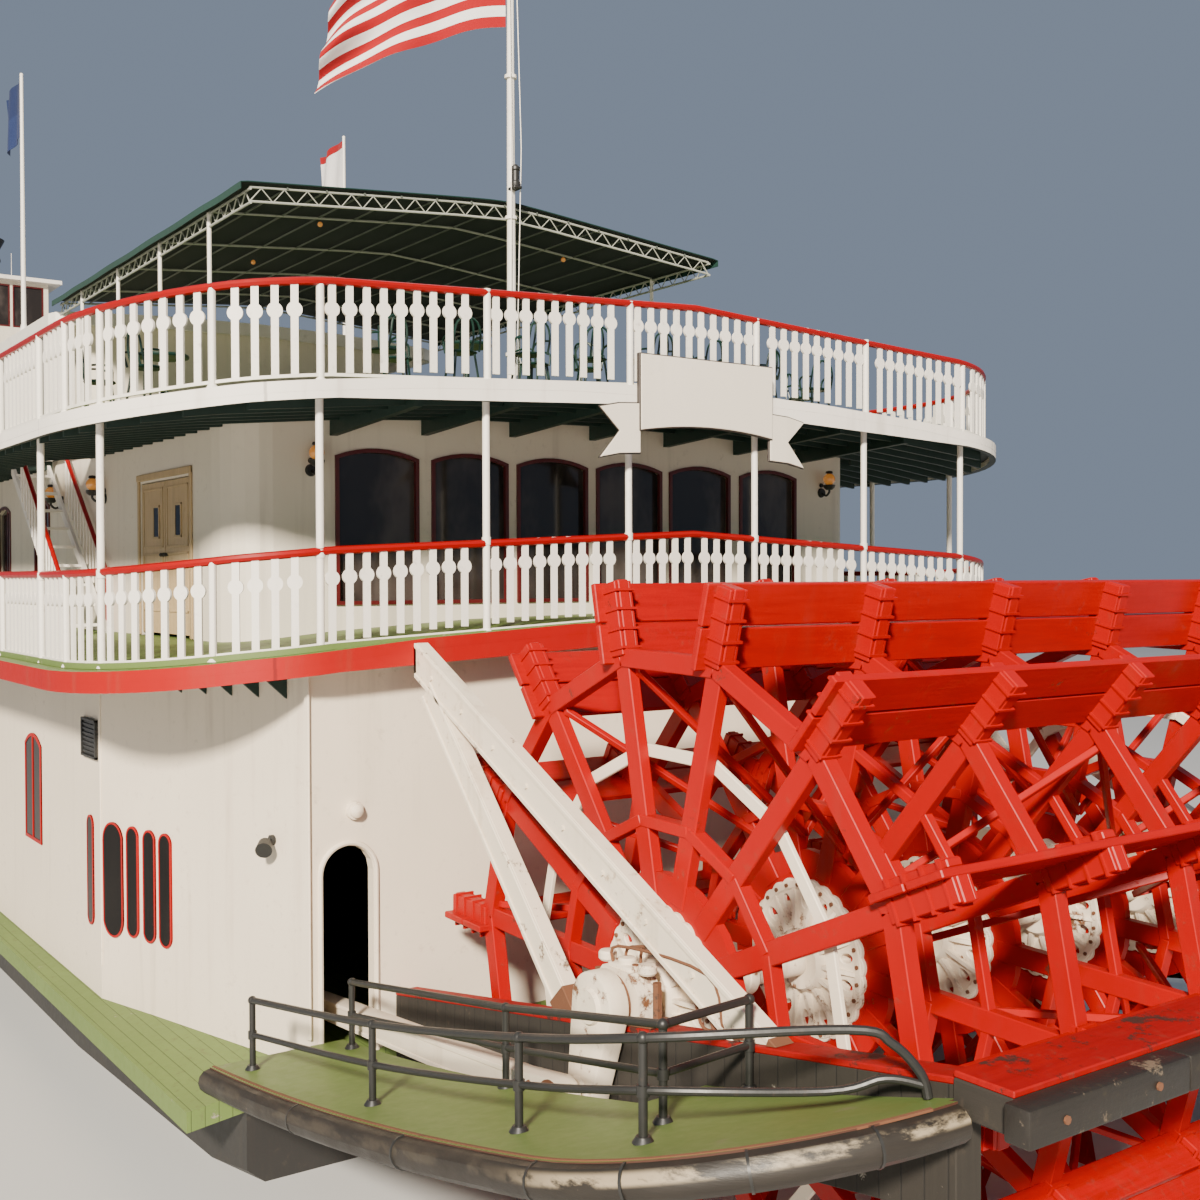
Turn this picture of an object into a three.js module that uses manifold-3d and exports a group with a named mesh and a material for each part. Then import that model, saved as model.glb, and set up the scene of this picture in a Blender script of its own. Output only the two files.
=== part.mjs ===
// A sternwheel paddle steamer, 1:10 scale model. Millimetres, +X to the bow, +Y to port, +Z up.
// Heights are measured from the flat bottom of the hull. Lengths along the ship are measured from the
// axis of the paddle wheel, and the whole ship is then moved so that the origin is under its middle.

import * as THREE from "three";
import { mergeVertices } from "three/addons/utils/BufferGeometryUtils.js";
import Module from "manifold-3d";

const wasm = await Module();
wasm.setup();

// Driving dimensions
const SHIP_SHIFT = -3757; // puts the origin halfway between the stern beam and the tips of the stages
const GAP = 0.3; // between pieces that touch

const HULL_AFT = 430; // transom
const HULL_FORE = 7620; // stem
const HULL_HALF = 625;
const MAIN_HALF = 665; // half the breadth over the main deck
const DECK_HALF = 740; // and over the two decks above it
const MAIN_Z = 320; // top of each deck on the centreline
const BOILER_Z = 783;
const HURRICANE_Z = 1075;
const TEXAS_ROOF_Z = 1385;
const MAIN_THICK = 22; // of the main deck
const SLAB = 12; // thickness of the other decks inside their rims
const RIM_THICK = 10;
const CAMBER = 52; // drop of every deck from the centreline to DECK_HALF
const SHAFT_Z = 458;

const WHEEL_RADIUS = 381;
const WHEEL_HALF = 385;
const FRAME_SPACING = 182.5;
const ARMS = 14;
const ARM_PHASE = 1.52; // degrees from the fore and aft line to the first arm
const ARM_WIDTH = 20.5;
const FRAME_THICK = 12;
const BUCKET_INNER = 303;
const BUCKET_THICK = 7;
const HUB_RADIUS = 82;
const SHAFT_RADIUS = 14;
const CRANK_THROW = 85;
const BEAM_Y = [396, 422]; // inner and outer side of a wheel beam
const CRANK_Y = [428, 450];
const PITMAN_Y = [458, 480];

// Colour, roughness and metalness of each paint
const PAINT = {
  red: [0xd3180c, 0.5, 0],
  white: [0xe9e4da, 0.55, 0],
  cream: [0xe3d6c4, 0.7, 0],
  deckGreen: [0x6f7d4e, 0.8, 0],
  canvas: [0x1b4a3d, 0.9, 0],
  black: [0x1c1b1a, 0.6, 0.2],
  timber: [0x55483a, 0.85, 0],
  door: [0xcbb893, 0.6, 0],
  hull: [0x26231f, 0.7, 0],
  navy: [0x23305a, 0.9, 0],
};

const ship = new THREE.Group();
ship.position.x = SHIP_SHIFT;
const wheelGroup = new THREE.Group(); // what turns on or with the shaft, drawn about its axis
wheelGroup.position.z = SHAFT_Z;
ship.add(wheelGroup);

const SIDES = { port: 1, starboard: -1 };

// A three.js geometry as a closed solid
function solid(geometry) {
  const bare = geometry.index ? geometry.toNonIndexed() : geometry.clone();
  const only = new THREE.BufferGeometry().setAttribute("position", bare.getAttribute("position"));
  const merged = mergeVertices(only, 1e-3);
  return new wasm.Manifold(new wasm.Mesh({
    numProp: 3,
    vertProperties: merged.attributes.position.array,
    triVerts: new Uint32Array(merged.index.array),
  }));
}

const join = (parts) => parts.flat(3).reduce((sum, next) => sum.add(next));
const cut = (from, parts) => parts.flat(3).reduce((rest, next) => rest.subtract(next), from);

// Adds a named piece to a group, or its mirror image when side is -1
function piece(name, body, paint, group = ship, side = 1) {
  const mesh = body.getMesh();
  const stride = mesh.numProp;
  const positions = new Float32Array(mesh.numVert * 3);
  for (let i = 0; i < mesh.numVert; i++) {
    positions.set(mesh.vertProperties.subarray(i * stride, i * stride + 3), i * 3);
  }
  const geometry = new THREE.BufferGeometry();
  geometry.setAttribute("position", new THREE.BufferAttribute(positions, 3));
  geometry.setIndex(new THREE.BufferAttribute(new Uint32Array(mesh.triVerts), 1));
  geometry.computeVertexNormals();
  const [color, roughness, metalness] = PAINT[paint];
  const material = new THREE.MeshStandardMaterial({ color, roughness, metalness });
  const made = new THREE.Mesh(geometry, material);
  made.name = name;
  made.scale.y = side;
  group.add(made);
}

// The same piece on both sides of the ship
function pair(name, body, paint) {
  for (const [side, sign] of Object.entries(SIDES)) piece(`${name}_${side}`, body, paint, ship, sign);
}

const shapeOf = (points) => new THREE.Shape(points.map(([x, y]) => new THREE.Vector2(x, y)));

function box(x0, x1, y0, y1, z0, z1) {
  const made = new THREE.BoxGeometry(x1 - x0, y1 - y0, z1 - z0);
  return solid(made.translate((x0 + x1) / 2, (y0 + y1) / 2, (z0 + z1) / 2));
}

// A plan outline raised from z0 to z1
function prism(points, z0, z1) {
  const made = new THREE.ExtrudeGeometry(shapeOf(points), { depth: z1 - z0, bevelEnabled: false });
  return solid(made.translate(0, 0, z0));
}

// An outline in X and Z, run along Y
function prismY(points, y0, y1) {
  const made = new THREE.ExtrudeGeometry(shapeOf(points), { depth: y1 - y0, bevelEnabled: false });
  return solid(made.rotateX(Math.PI / 2).translate(0, y1, 0));
}

// An outline in Y and Z, run along X
function prismX(points, x0, x1) {
  const made = new THREE.ExtrudeGeometry(shapeOf(points), { depth: x1 - x0, bevelEnabled: false });
  return solid(made.rotateX(Math.PI / 2).rotateZ(Math.PI / 2).translate(x0, 0, 0));
}

// A round bar from a to b
function bar(a, b, radius, sides = 4, radiusB = radius) {
  const from = new THREE.Vector3(...a);
  const to = new THREE.Vector3(...b);
  const made = new THREE.CylinderGeometry(radiusB, radius, from.distanceTo(to), sides);
  made.applyQuaternion(new THREE.Quaternion().setFromUnitVectors(
    new THREE.Vector3(0, 1, 0), to.clone().sub(from).normalize()));
  const middle = from.add(to).multiplyScalar(0.5);
  return solid(made.translate(middle.x, middle.y, middle.z));
}

// A drum about a crosswise axis at x, z
const drum = (x, z, y0, y1, radius, sides = 16) => bar([x, y0, z], [x, y1, z], radius, sides);

// A profile of radius and height turned about an upright axis
function lathe(profile, sides, x, y, z) {
  const made = new THREE.LatheGeometry(profile.map(([r, h]) => new THREE.Vector2(r, h)), sides);
  return solid(made.rotateX(Math.PI / 2).translate(x, y, z));
}

// The triangles between rings of points, all with the same count
function skin(rings) {
  const triangles = [];
  rings.slice(1).forEach((ring, i) => ring.forEach((point, j) => {
    const k = (j + 1) % ring.length;
    triangles.push([rings[i][j], rings[i][k], ring[k]], [rings[i][j], ring[k], point]);
  }));
  return triangles;
}

function closed(triangles) {
  const geometry = new THREE.BufferGeometry();
  geometry.setAttribute("position", new THREE.BufferAttribute(new Float32Array(triangles.flat(2)), 3));
  return solid(geometry);
}

// A closed skin through upright rings, capped flat at both ends
function loft(rings) {
  const cap = (ring) => THREE.ShapeUtils.triangulateShape(ring.map(([, y, z]) => new THREE.Vector2(y, z)), [])
    .map((face) => face.map((n) => ring[n]));
  const aft = cap(rings[0]).map((face) => face.reverse());
  return closed([...skin(rings), ...aft, ...cap(rings[rings.length - 1])]);
}

// A square-edged rail that follows points, each [x, y, z of its middle]
function rail(points, width, height) {
  const rings = points.map((point, i) => {
    const before = points[Math.max(i - 1, 0)];
    const after = points[Math.min(i + 1, points.length - 1)];
    const along = new THREE.Vector2(after[0] - before[0], after[1] - before[1]).normalize();
    const [nx, ny] = [-along.y * width / 2, along.x * width / 2];
    const corner = (side, up) => [point[0] + side * nx, point[1] + side * ny, point[2] + up * height / 2];
    return [corner(1, -1), corner(1, 1), corner(-1, 1), corner(-1, -1)];
  });
  const [first, last] = [rings[0], rings[rings.length - 1]];
  const ends = [[first[0], first[2], first[1]], [first[0], first[3], first[2]],
    [last[0], last[1], last[2]], [last[0], last[2], last[3]]];
  const triangles = [...skin(rings), ...ends];
  const made = closed(triangles);
  return made.volume() > 0 ? made : closed(triangles.map((face) => face.slice().reverse()));
}

const mirrorY = (points) => points.map(([x, y, ...rest]) => [x, -y, ...rest]);

// Camber: how far a deck has dropped at y, in straight strips so that decks and walls fit each other
const CAMBER_STRIPS = 8;
const CAMBER_REACH = 800;
const STRIP = CAMBER_REACH * 2 / CAMBER_STRIPS;
const dropAtStation = (y) => CAMBER * (y / DECK_HALF) ** 2;
function drop(y) {
  const low = Math.floor(Math.abs(y) / STRIP);
  const share = Math.abs(y) / STRIP - low;
  return dropAtStation(low * STRIP) * (1 - share) + dropAtStation((low + 1) * STRIP) * share;
}

// The space over the whole ship between two cambered levels, which rise towards the bow when sheered
const SHIP_ENDS = [-700, 8200]; // beyond the tips of everything
const SHEER_START = 6200;
const SHEER_STATIONS = [SHIP_ENDS[0], SHEER_START, 6400, 6600, 6800, 7000, 7200, 7400, 7600, SHIP_ENDS[1]];
const BOW_RISE = 70;
const sheer = (x) => (x <= SHEER_START ? 0 : BOW_RISE * ((x - SHEER_START) / (HULL_FORE - SHEER_START)) ** 2);
function camberRing(x, low, high) {
  const ys = Array.from({ length: CAMBER_STRIPS + 1 }, (_, i) => -CAMBER_REACH + i * STRIP);
  return [...ys.map((y) => [x, y, low - dropAtStation(y)]),
    ...ys.reverse().map((y) => [x, y, high - dropAtStation(y)])];
}
const between = (low, high) => loft(SHIP_ENDS.map((x) => camberRing(x, low, high)));
const sheered = (low, high) => loft(SHEER_STATIONS.map(
  (x) => camberRing(x, low + sheer(x), high + sheer(x))));

// Plan outlines run down the port side from the bow, across the stern and back up the starboard side
const CORNER_STEPS = 6;
function roundedEnd(x, sign, half, [long, wide], steps) {
  return Array.from({ length: steps + 1 }, (_, i) => {
    const t = (i / steps) * Math.PI / 2;
    return [x + sign * long * (1 - Math.sin(t)), half - wide * (1 - Math.cos(t))];
  }); // from the side to the end, on the port side
}
const bothSides = (port) => [...port, ...mirrorY(port).reverse()];
function roundedPlan(aft, fore, half, aftCorner, foreCorner, steps = CORNER_STEPS) {
  return bothSides([...roundedEnd(fore, -1, half, foreCorner, steps).reverse(),
    ...roundedEnd(aft, 1, half, aftCorner, steps)]);
}

// An outline moved inwards by a distance
function shrink(points, by) {
  const turn = Math.sign(THREE.ShapeUtils.area(points.map(([x, y]) => new THREE.Vector2(x, y))));
  const inward = (a, b) => new THREE.Vector2(a[1] - b[1], b[0] - a[0]).normalize().multiplyScalar(turn);
  return points.map((point, i) => {
    const [before, after] = [inward(points.at(i - 1), point), inward(point, points[(i + 1) % points.length])];
    const share = by / (1 + before.dot(after));
    return [point[0] + (before.x + after.x) * share, point[1] + (before.y + after.y) * share];
  });
}

// A deck: a cambered slab with a deeper rim round its edge
const FULL_HEIGHT = 3000;
function ringOf(outline, thick) {
  return prism(outline, 0, FULL_HEIGHT).subtract(prism(shrink(outline, thick), -10, FULL_HEIGHT + 10));
}
function deck(outline, z, rimDepth) {
  const slab = prism(outline, 0, FULL_HEIGHT).intersect(between(z - SLAB, z));
  return slab.add(ringOf(outline, RIM_THICK).intersect(between(z - rimDepth, z)));
}

// The walls of a house: a ring of the given thickness between the tops of two decks
const walls = (outline, thick, zLow, zHigh) => ringOf(outline, thick)
  .intersect(between(zLow + GAP, zHigh - SLAB - GAP));

// An opening with a rounded top, or with both ends rounded, from so many straight steps
function archOutline(centre, half, bottom, top, rise, steps = 2, both = false) {
  const curve = (z, sign) => Array.from({ length: steps + 1 }, (_, i) => {
    const t = (i / steps) * Math.PI;
    return [centre + sign * half * Math.cos(t), z + sign * rise * (Math.sin(t) - 1)];
  });
  const foot = both ? curve(bottom, -1) : [[centre - half, bottom], [centre + half, bottom]];
  return [...curve(top, 1), ...foot];
}

// HULL AND MAIN DECK
const BOW_START = 5800;
const bowHalf = (x, half, tip) => (x <= BOW_START ? half
  : half * Math.sqrt(Math.max(0, 1 - ((x - BOW_START) / (tip - BOW_START)) ** 2)));
const BOW_LIFT = { start: 6000, height: 250 };
const STERN_LIFT = { start: 1600, height: 165 };
const bowBottom = (x) => (x <= BOW_LIFT.start ? 0
  : BOW_LIFT.height * ((x - BOW_LIFT.start) / (HULL_FORE - BOW_LIFT.start)) ** 1.7);
const sternBottom = (x) => (x >= STERN_LIFT.start ? 0
  : STERN_LIFT.height * ((STERN_LIFT.start - x) / (STERN_LIFT.start - HULL_AFT)) ** 1.3);
const HULL_STATIONS = [HULL_AFT, 700, 1000, 1300, 1600, BOW_START, 6000, 6400, 6800, 7100, 7300, 7450, 7560];
const STERN_TAPER = { start: 1000, narrower: 25 };
const CHINE = 35; // height of the slanted corner between the bottom and the side
const FLAT_SHARE = { bow: 0.82, body: 0.93 }; // how much of the breadth the flat bottom takes
const HULL_CUT = 500; // above the main deck, which trims the sides

function hullRing(x) {
  const taper = STERN_TAPER.narrower * Math.max(0, (STERN_TAPER.start - x) / (STERN_TAPER.start - HULL_AFT));
  const half = bowHalf(x, HULL_HALF, HULL_FORE) - taper;
  const bottom = Math.max(sternBottom(x), bowBottom(x));
  const flat = half * (x > BOW_START ? FLAT_SHARE.bow : FLAT_SHARE.body);
  return bothSides([[x, flat, bottom], [x, half, bottom + CHINE], [x, half, HULL_CUT]]);
}
piece("hull", loft(HULL_STATIONS.map(hullRing)).intersect(sheered(-100, MAIN_Z - MAIN_THICK - GAP)), "hull");

const MAIN_STATIONS = [HULL_AFT, BOW_START, 6100, 6400, 6700, 7000, 7250, 7450, 7570, 7630];
const mainPort = MAIN_STATIONS.map((x) => [x, bowHalf(x, MAIN_HALF, HULL_FORE + 30)]).reverse();
const mainDeckAt = (lift) => prism(bothSides(mainPort), 0, 900)
  .intersect(sheered(MAIN_Z - MAIN_THICK + lift, MAIN_Z + lift));
piece("main_deck", mainDeckAt(0), "deckGreen");

// MAIN HOUSE, between the main deck and the boiler deck, with the ways for the two pitmans
const WALL = 14;
const MAIN_HOUSE = { aft: 432, aftHalf: 525, panelEnd: 872, half: 628, fore: 6120, foreCorner: [200, 160] };
const mainHousePlan = bothSides([
  ...roundedEnd(MAIN_HOUSE.fore, -1, MAIN_HOUSE.half, MAIN_HOUSE.foreCorner, 4).reverse(),
  [MAIN_HOUSE.panelEnd, MAIN_HOUSE.half], [MAIN_HOUSE.aft, MAIN_HOUSE.aftHalf],
]);
const PITMAN_WAY = { centre: 479, half: 31, top: 536 };
const pitmanWays = Object.values(SIDES).map((sign) => prismX(archOutline(
  sign * PITMAN_WAY.centre, PITMAN_WAY.half, MAIN_Z - 40, PITMAN_WAY.top, PITMAN_WAY.half, 8), 400, 520));
const SLIT = { xs: [717, 753, 792, 839], half: 13, bottom: 378, top: 518 };
const slits = SLIT.xs.map((x) => prismY(
  archOutline(x, SLIT.half, SLIT.bottom, SLIT.top, SLIT.half, 4, true), -700, 700));
const MAIN_WINDOW = { first: 1225, step: 415, count: 12, half: 46, bottom: 440, top: 600, rise: 20 };
const mainWindows = Array.from({ length: MAIN_WINDOW.count }, (_, i) => prismY(archOutline(
  MAIN_WINDOW.first + i * MAIN_WINDOW.step, MAIN_WINDOW.half, MAIN_WINDOW.bottom, MAIN_WINDOW.top,
  MAIN_WINDOW.rise), -700, 700));
const BOW_DOOR = { half: 90, height: 215 };
const bowDoor = box(MAIN_HOUSE.fore - 70, MAIN_HOUSE.fore + 30, -BOW_DOOR.half, BOW_DOOR.half, MAIN_Z - 10,
  MAIN_Z + BOW_DOOR.height);
const mainOpenings = [pitmanWays, slits, mainWindows, bowDoor];
piece("main_house", cut(walls(mainHousePlan, WALL, MAIN_Z, BOILER_Z), mainOpenings), "cream");

// Heavy machinery behind the walls: two engines and the boilers, each one plain block
const ENGINE = { x0: 900, x1: 1300, y0: 410, y1: 530, height: 130 };
const BOILERS = { x0: 4700, x1: 5400, half: 180, height: 230 };
const engineFoot = MAIN_Z - drop(ENGINE.y0) + GAP;
const engine = box(ENGINE.x0, ENGINE.x1, ENGINE.y0, ENGINE.y1, engineFoot, engineFoot + ENGINE.height);
pair("engine", engine, "black");
piece("boilers", box(
  BOILERS.x0, BOILERS.x1, -BOILERS.half, BOILERS.half, MAIN_Z + GAP, MAIN_Z + BOILERS.height), "black");

// BOILER DECK AND ITS HOUSE
const DECK_CORNERS = [[315, 232], [300, 420]];
const BOILER_AFT = 388;
const boilerPlan = roundedPlan(BOILER_AFT, 6620, DECK_HALF, ...DECK_CORNERS);
const RIM_DEPTH = { boiler: 24, hurricane: 20 };
piece("boiler_deck", deck(boilerPlan, BOILER_Z, RIM_DEPTH.boiler), "red");

const BOILER_WALL = 12;
const BOILER_HALF = 532;
const boilerHousePlan = roundedPlan(640, 6050, BOILER_HALF, [72, 52], [160, 140], 5);
const STERN_WINDOW = { half: 57, bottom: BOILER_Z + 20, top: BOILER_Z + 218, rise: 14 };
const STERN_WINDOW_YS = [-338, -200, -67, 67, 200, 338];
const sternWindows = STERN_WINDOW_YS.map((y) => prismX(archOutline(
  y, STERN_WINDOW.half, STERN_WINDOW.bottom, STERN_WINDOW.top, STERN_WINDOW.rise, 4), 600, 700));
const SIDE_WINDOW = {
  first: 1560, step: 290, count: 15, half: 50, bottom: BOILER_Z + 40, top: BOILER_Z + 190, rise: 14,
};
const sideWindows = Array.from({ length: SIDE_WINDOW.count }, (_, i) => prismY(archOutline(
  SIDE_WINDOW.first + i * SIDE_WINDOW.step, SIDE_WINDOW.half, SIDE_WINDOW.bottom, SIDE_WINDOW.top,
  SIDE_WINDOW.rise), -600, 600));
const DOOR = { x0: 793, x1: 997, head: BOILER_Z + 187 };
const doorway = box(DOOR.x0, DOOR.x1, -600, 600, BOILER_Z - 40, DOOR.head);
piece("boiler_house", cut(walls(boilerHousePlan, BOILER_WALL, BOILER_Z, HURRICANE_Z),
  [sternWindows, sideWindows, doorway]), "cream");

// Two-leaf doors on each side, as thick as the wall, hung on the jambs and opening outwards
const LEAF = (DOOR.x1 - DOOR.x0) / 2;
const leafFoot = BOILER_Z - drop(BOILER_HALF - BOILER_WALL) + 4;
for (const [leaf, x0] of [["aft", DOOR.x0], ["fore", DOOR.x0 + LEAF]]) {
  for (const [side, sign] of Object.entries(SIDES)) {
    piece(`door_${side}_${leaf}`, box(x0 + 1, x0 + LEAF - 1, BOILER_HALF - BOILER_WALL, BOILER_HALF - 0.5,
      leafFoot, DOOR.head - 1.5), "door", ship, sign);
  }
}

// RAILS. Posts stand just inside the deck edge; those of the boiler deck carry the deck above.
const RAIL = { inset: 20, top: 109, wide: 9, deep: 7, post: 9 };
const STERN_POST_YS = [105, 312, 520];
const STERN_POST_INSETS = [0, 0, 2]; // the corner has begun at the outermost
const SIDE_POSTS = { first: 782, step: 415, count: 13 };
function railing(outline, postHeight, z) {
  const line = shrink(outline, RAIL.inset);
  const port = line.slice(0, line.length / 2);
  const [sternX, cornerY] = port.at(-1);
  const across = STERN_POST_YS.slice(0, 2).map((y) => [sternX, y]).reverse();
  const path = bothSides([...port, ...across]).map(([x, y]) => [x, y, z - drop(y) + RAIL.top]);
  const sternPosts = STERN_POST_YS.map((y, i) => [sternX + STERN_POST_INSETS[i], y]);
  const sidePosts = Array.from({ length: SIDE_POSTS.count }, (_, i) => [
    SIDE_POSTS.first + i * SIDE_POSTS.step, DECK_HALF - RAIL.inset]);
  const cornerPost = [0, 1].map((n) => (port.at(-CORNER_STEPS)[n] + port.at(1 - CORNER_STEPS)[n]) / 2);
  const forePost = port[Math.round(CORNER_STEPS / 2)];
  const places = [...sternPosts, cornerPost, ...sidePosts, forePost, port[0]];
  const half = RAIL.post / 2;
  const posts = [...places, ...mirrorY(places)].map(([x, y]) => box(
    x - half, x + half, y - half, y + half, z - 60, z + postHeight + 40));
  return join([join(posts).intersect(between(z + GAP, z + postHeight)), rail(path, RAIL.wide, RAIL.deep)]);
}
piece("boiler_rail", railing(boilerPlan, HURRICANE_Z - BOILER_Z - SLAB - GAP, BOILER_Z), "white");

// Hurricane deck, with a hatch for the stair on each side
const HURRICANE_AFT = 384;
const hurricanePlan = roundedPlan(HURRICANE_AFT, 6560, DECK_HALF, ...DECK_CORNERS);
const STAIR = { x0: 1130, x1: 1450, y0: 545, y1: 607, treads: 9, width: 5, depth: 18 };
const HATCH = [1220, 1454, STAIR.y0 - 4, STAIR.y1 + 4];
const hatches = [box(...HATCH, 900, 1200), box(HATCH[0], HATCH[1], -HATCH[3], -HATCH[2], 900, 1200)];
piece("hurricane_deck", cut(deck(hurricanePlan, HURRICANE_Z, RIM_DEPTH.hurricane), hatches), "white");
piece("hurricane_rail", railing(hurricanePlan, RAIL.top + 1, HURRICANE_Z), "white");

// Stairs from the boiler deck up through the hatches
const stairFoot = BOILER_Z - drop(STAIR.y1) + 8;
const stairZ = (x) => stairFoot + (x - STAIR.x0) * ((HURRICANE_Z - BOILER_Z - 22) / (STAIR.x1 - STAIR.x0));
const stringer = (y) => prismY([[STAIR.x0, stairZ(STAIR.x0) - 2], [STAIR.x1, stairZ(STAIR.x1) - STAIR.depth],
  [STAIR.x1, stairZ(STAIR.x1)], [STAIR.x0, stairZ(STAIR.x0) + STAIR.depth - 2]], y, y + STAIR.width);
const treads = Array.from({ length: STAIR.treads }, (_, i) => {
  const x = STAIR.x0 + 10 + i * ((STAIR.x1 - STAIR.x0 - 36) / (STAIR.treads - 1));
  return box(x, x + 24, STAIR.y0 + 2, STAIR.y1 - 2, stairZ(x), stairZ(x) + 4);
});
pair("stair", join([stringer(STAIR.y0), stringer(STAIR.y1 - STAIR.width), treads]), "white");

// Blank nameboard with two swallow tails, on the stern edge of the hurricane deck
const boardX = HURRICANE_AFT - GAP;
const board = [[-110, 1016], [-84, 1021], [-40, 1025], [40, 1025], [84, 1021], [110, 1016], [110, 1113],
  [-110, 1113]];
const ribbonEnd = [[106, 988], [140, 986], [170, 980], [139, 1015], [170, 1044], [140, 1050], [106, 1052]];
const otherRibbonEnd = ribbonEnd.map(([y, z]) => [-y, z]).reverse();
piece("nameboard", join([
  prismX(board, boardX - 8, boardX),
  [ribbonEnd, otherRibbonEnd].map((outline) => prismX(outline, boardX - 5, boardX)),
]), "white");

// AWNING over the stern of the hurricane deck
const AWNING = {
  aft: 870, fore: 1890, half: 430, eave: 1384, ridge: 1420, thick: 4, edge: 26, bar: 2.5, post: 3.5,
};
const roofLine = (lift) => [
  [-AWNING.half, AWNING.eave + lift], [0, AWNING.ridge + lift], [AWNING.half, AWNING.eave + lift],
];
const coverOutline = [...roofLine(0), ...roofLine(AWNING.thick).reverse()];
piece("awning_cover", prismX(coverOutline, AWNING.aft, AWNING.fore), "canvas");
const AWNING_POST_XS = [1040, 1270, 1500, 1730];
const awningY = AWNING.half - 15;
const chordZs = [AWNING.eave - 6, AWNING.eave - AWNING.edge];
const frameXs = [AWNING.aft + 8, ...AWNING_POST_XS];
const awningFoot = HURRICANE_Z - drop(awningY - AWNING.post) + GAP;
const awningSide = (y) => [
  AWNING_POST_XS.map((x) => bar([x, y, awningFoot], [x, y, AWNING.eave - 3], AWNING.post)),
  chordZs.map((z) => bar([AWNING.aft + 6, y, z], [AWNING.fore - 6, y, z], AWNING.bar)),
  frameXs.flatMap((x) => [
    bar([x, y, AWNING.eave - 6], [x, 0, AWNING.ridge - 8], AWNING.bar),
    bar([x, y, AWNING.eave - AWNING.edge], [x, 0, AWNING.ridge - AWNING.edge], AWNING.bar),
  ]),
  bar([frameXs[0], y, AWNING.eave - 6], [frameXs[0], y, AWNING.eave - AWNING.edge], AWNING.bar),
];
const kingPost = bar(
  [frameXs[0], 0, AWNING.ridge - 8], [frameXs[0], 0, AWNING.ridge - AWNING.edge], AWNING.bar);
piece("awning_frame", join([awningSide(awningY), awningSide(-awningY), kingPost]), "white");

// TEXAS HOUSE on the hurricane deck, its roof, and the pilothouse on top
const TEXAS_WINDOW = { first: 2150, step: 300, count: 12, half: 40, bottom: 1150, top: 1290, rise: 12 };
const texasWindows = Array.from({ length: TEXAS_WINDOW.count }, (_, i) => prismY(archOutline(
  TEXAS_WINDOW.first + i * TEXAS_WINDOW.step, TEXAS_WINDOW.half, TEXAS_WINDOW.bottom, TEXAS_WINDOW.top,
  TEXAS_WINDOW.rise), -400, 400));
const texasPlan = roundedPlan(1960, 5600, 345, [40, 40], [40, 40], 2);
piece("texas_house", cut(walls(texasPlan, WALL, HURRICANE_Z, TEXAS_ROOF_Z), texasWindows), "white");
piece("texas_roof", deck(roundedPlan(1894, 5700, 430, [30, 30], [60, 60], 2), TEXAS_ROOF_Z, 26), "white");

const PILOT = { aft: 4450, fore: 4870, half: 190, wall: 10, roof: 1930 };
const PILOT_WINDOW = {
  low: 1765, high: 1915, stepAcross: 118, halfAcross: 52, stepAlong: 132, halfAlong: 58,
};
const roundPilot = (out, low, high) => box(
  PILOT.aft - out, PILOT.fore + out, -PILOT.half - out, PILOT.half + out, low, high);
const pilotMiddle = (PILOT.aft + PILOT.fore) / 2;
const pilotWindows = [-1, 0, 1].flatMap((n) => {
  const y = n * PILOT_WINDOW.stepAcross;
  const x = pilotMiddle + n * PILOT_WINDOW.stepAlong;
  return [
    box(PILOT.aft - 20, PILOT.fore + 20, y - PILOT_WINDOW.halfAcross, y + PILOT_WINDOW.halfAcross,
      PILOT_WINDOW.low, PILOT_WINDOW.high),
    box(x - PILOT_WINDOW.halfAlong, x + PILOT_WINDOW.halfAlong, -PILOT.half - 20, PILOT.half + 20,
      PILOT_WINDOW.low, PILOT_WINDOW.high),
  ];
});
const pilotShell = roundPilot(0, TEXAS_ROOF_Z - 80, PILOT.roof);
const pilotRoom = roundPilot(-PILOT.wall, TEXAS_ROOF_Z - 90, PILOT.roof + 70);
piece("pilothouse", cut(pilotShell, [pilotRoom, pilotWindows]).intersect(between(TEXAS_ROOF_Z + GAP, 2200)),
  "white");
piece("pilothouse_roof", join([
  roundPilot(40, PILOT.roof + GAP, PILOT.roof + 14),
  roundPilot(-60, PILOT.roof + 10, PILOT.roof + 30),
]), "white");

// STACKS with flared crowns, open at the top
const STACK = { x: 6050, y: 290 };
const stackProfile = [[0, 0], [62, 0], [62, 60], [60, 62], [60, 1250], [76, 1262], [76, 1274], [60, 1286],
  [62, 1300], [92, 1360], [84, 1365], [52, 1300], [52, 20], [0, 20]];
pair("stack", lathe(stackProfile, 16, STACK.x, STACK.y, HURRICANE_Z - drop(STACK.y - 62) + GAP), "black");

// FLAGS AND STAFFS
function staff(x, y, low, high, radius) {
  return join([bar([x, y, low], [x, y, high], radius, 8, radius * 0.6),
    bar([x, y, low], [x, y, low + 30], radius * 2.2, 8, radius)]);
}
const STERN_STAFF = { x: 856, top: 1905, lampZ: 1438 };
piece("stern_staff", join([
  staff(STERN_STAFF.x, 0, HURRICANE_Z + GAP, STERN_STAFF.top, 8),
  box(STERN_STAFF.x - 16, STERN_STAFF.x, -7, 7, STERN_STAFF.lampZ - 2, STERN_STAFF.lampZ + 2),
  bar([STERN_STAFF.x - 13, 0, STERN_STAFF.lampZ], [STERN_STAFF.x - 13, 0, STERN_STAFF.lampZ + 32], 6, 8),
]), "white");
piece("stern_flag", prism([[852, 11], [855, 9], [1010, 260], [1007, 262]], 1620, 1864), "white");
const ROOF_STAFF = { x: 2300, y: 390, top: 1965 };
const ROOF_FLAG = { gap: 10, long: 140, half: 1.5, low: 1820, high: 1950 };
const roofFoot = TEXAS_ROOF_Z - drop(ROOF_STAFF.y - 14) + GAP;
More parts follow.
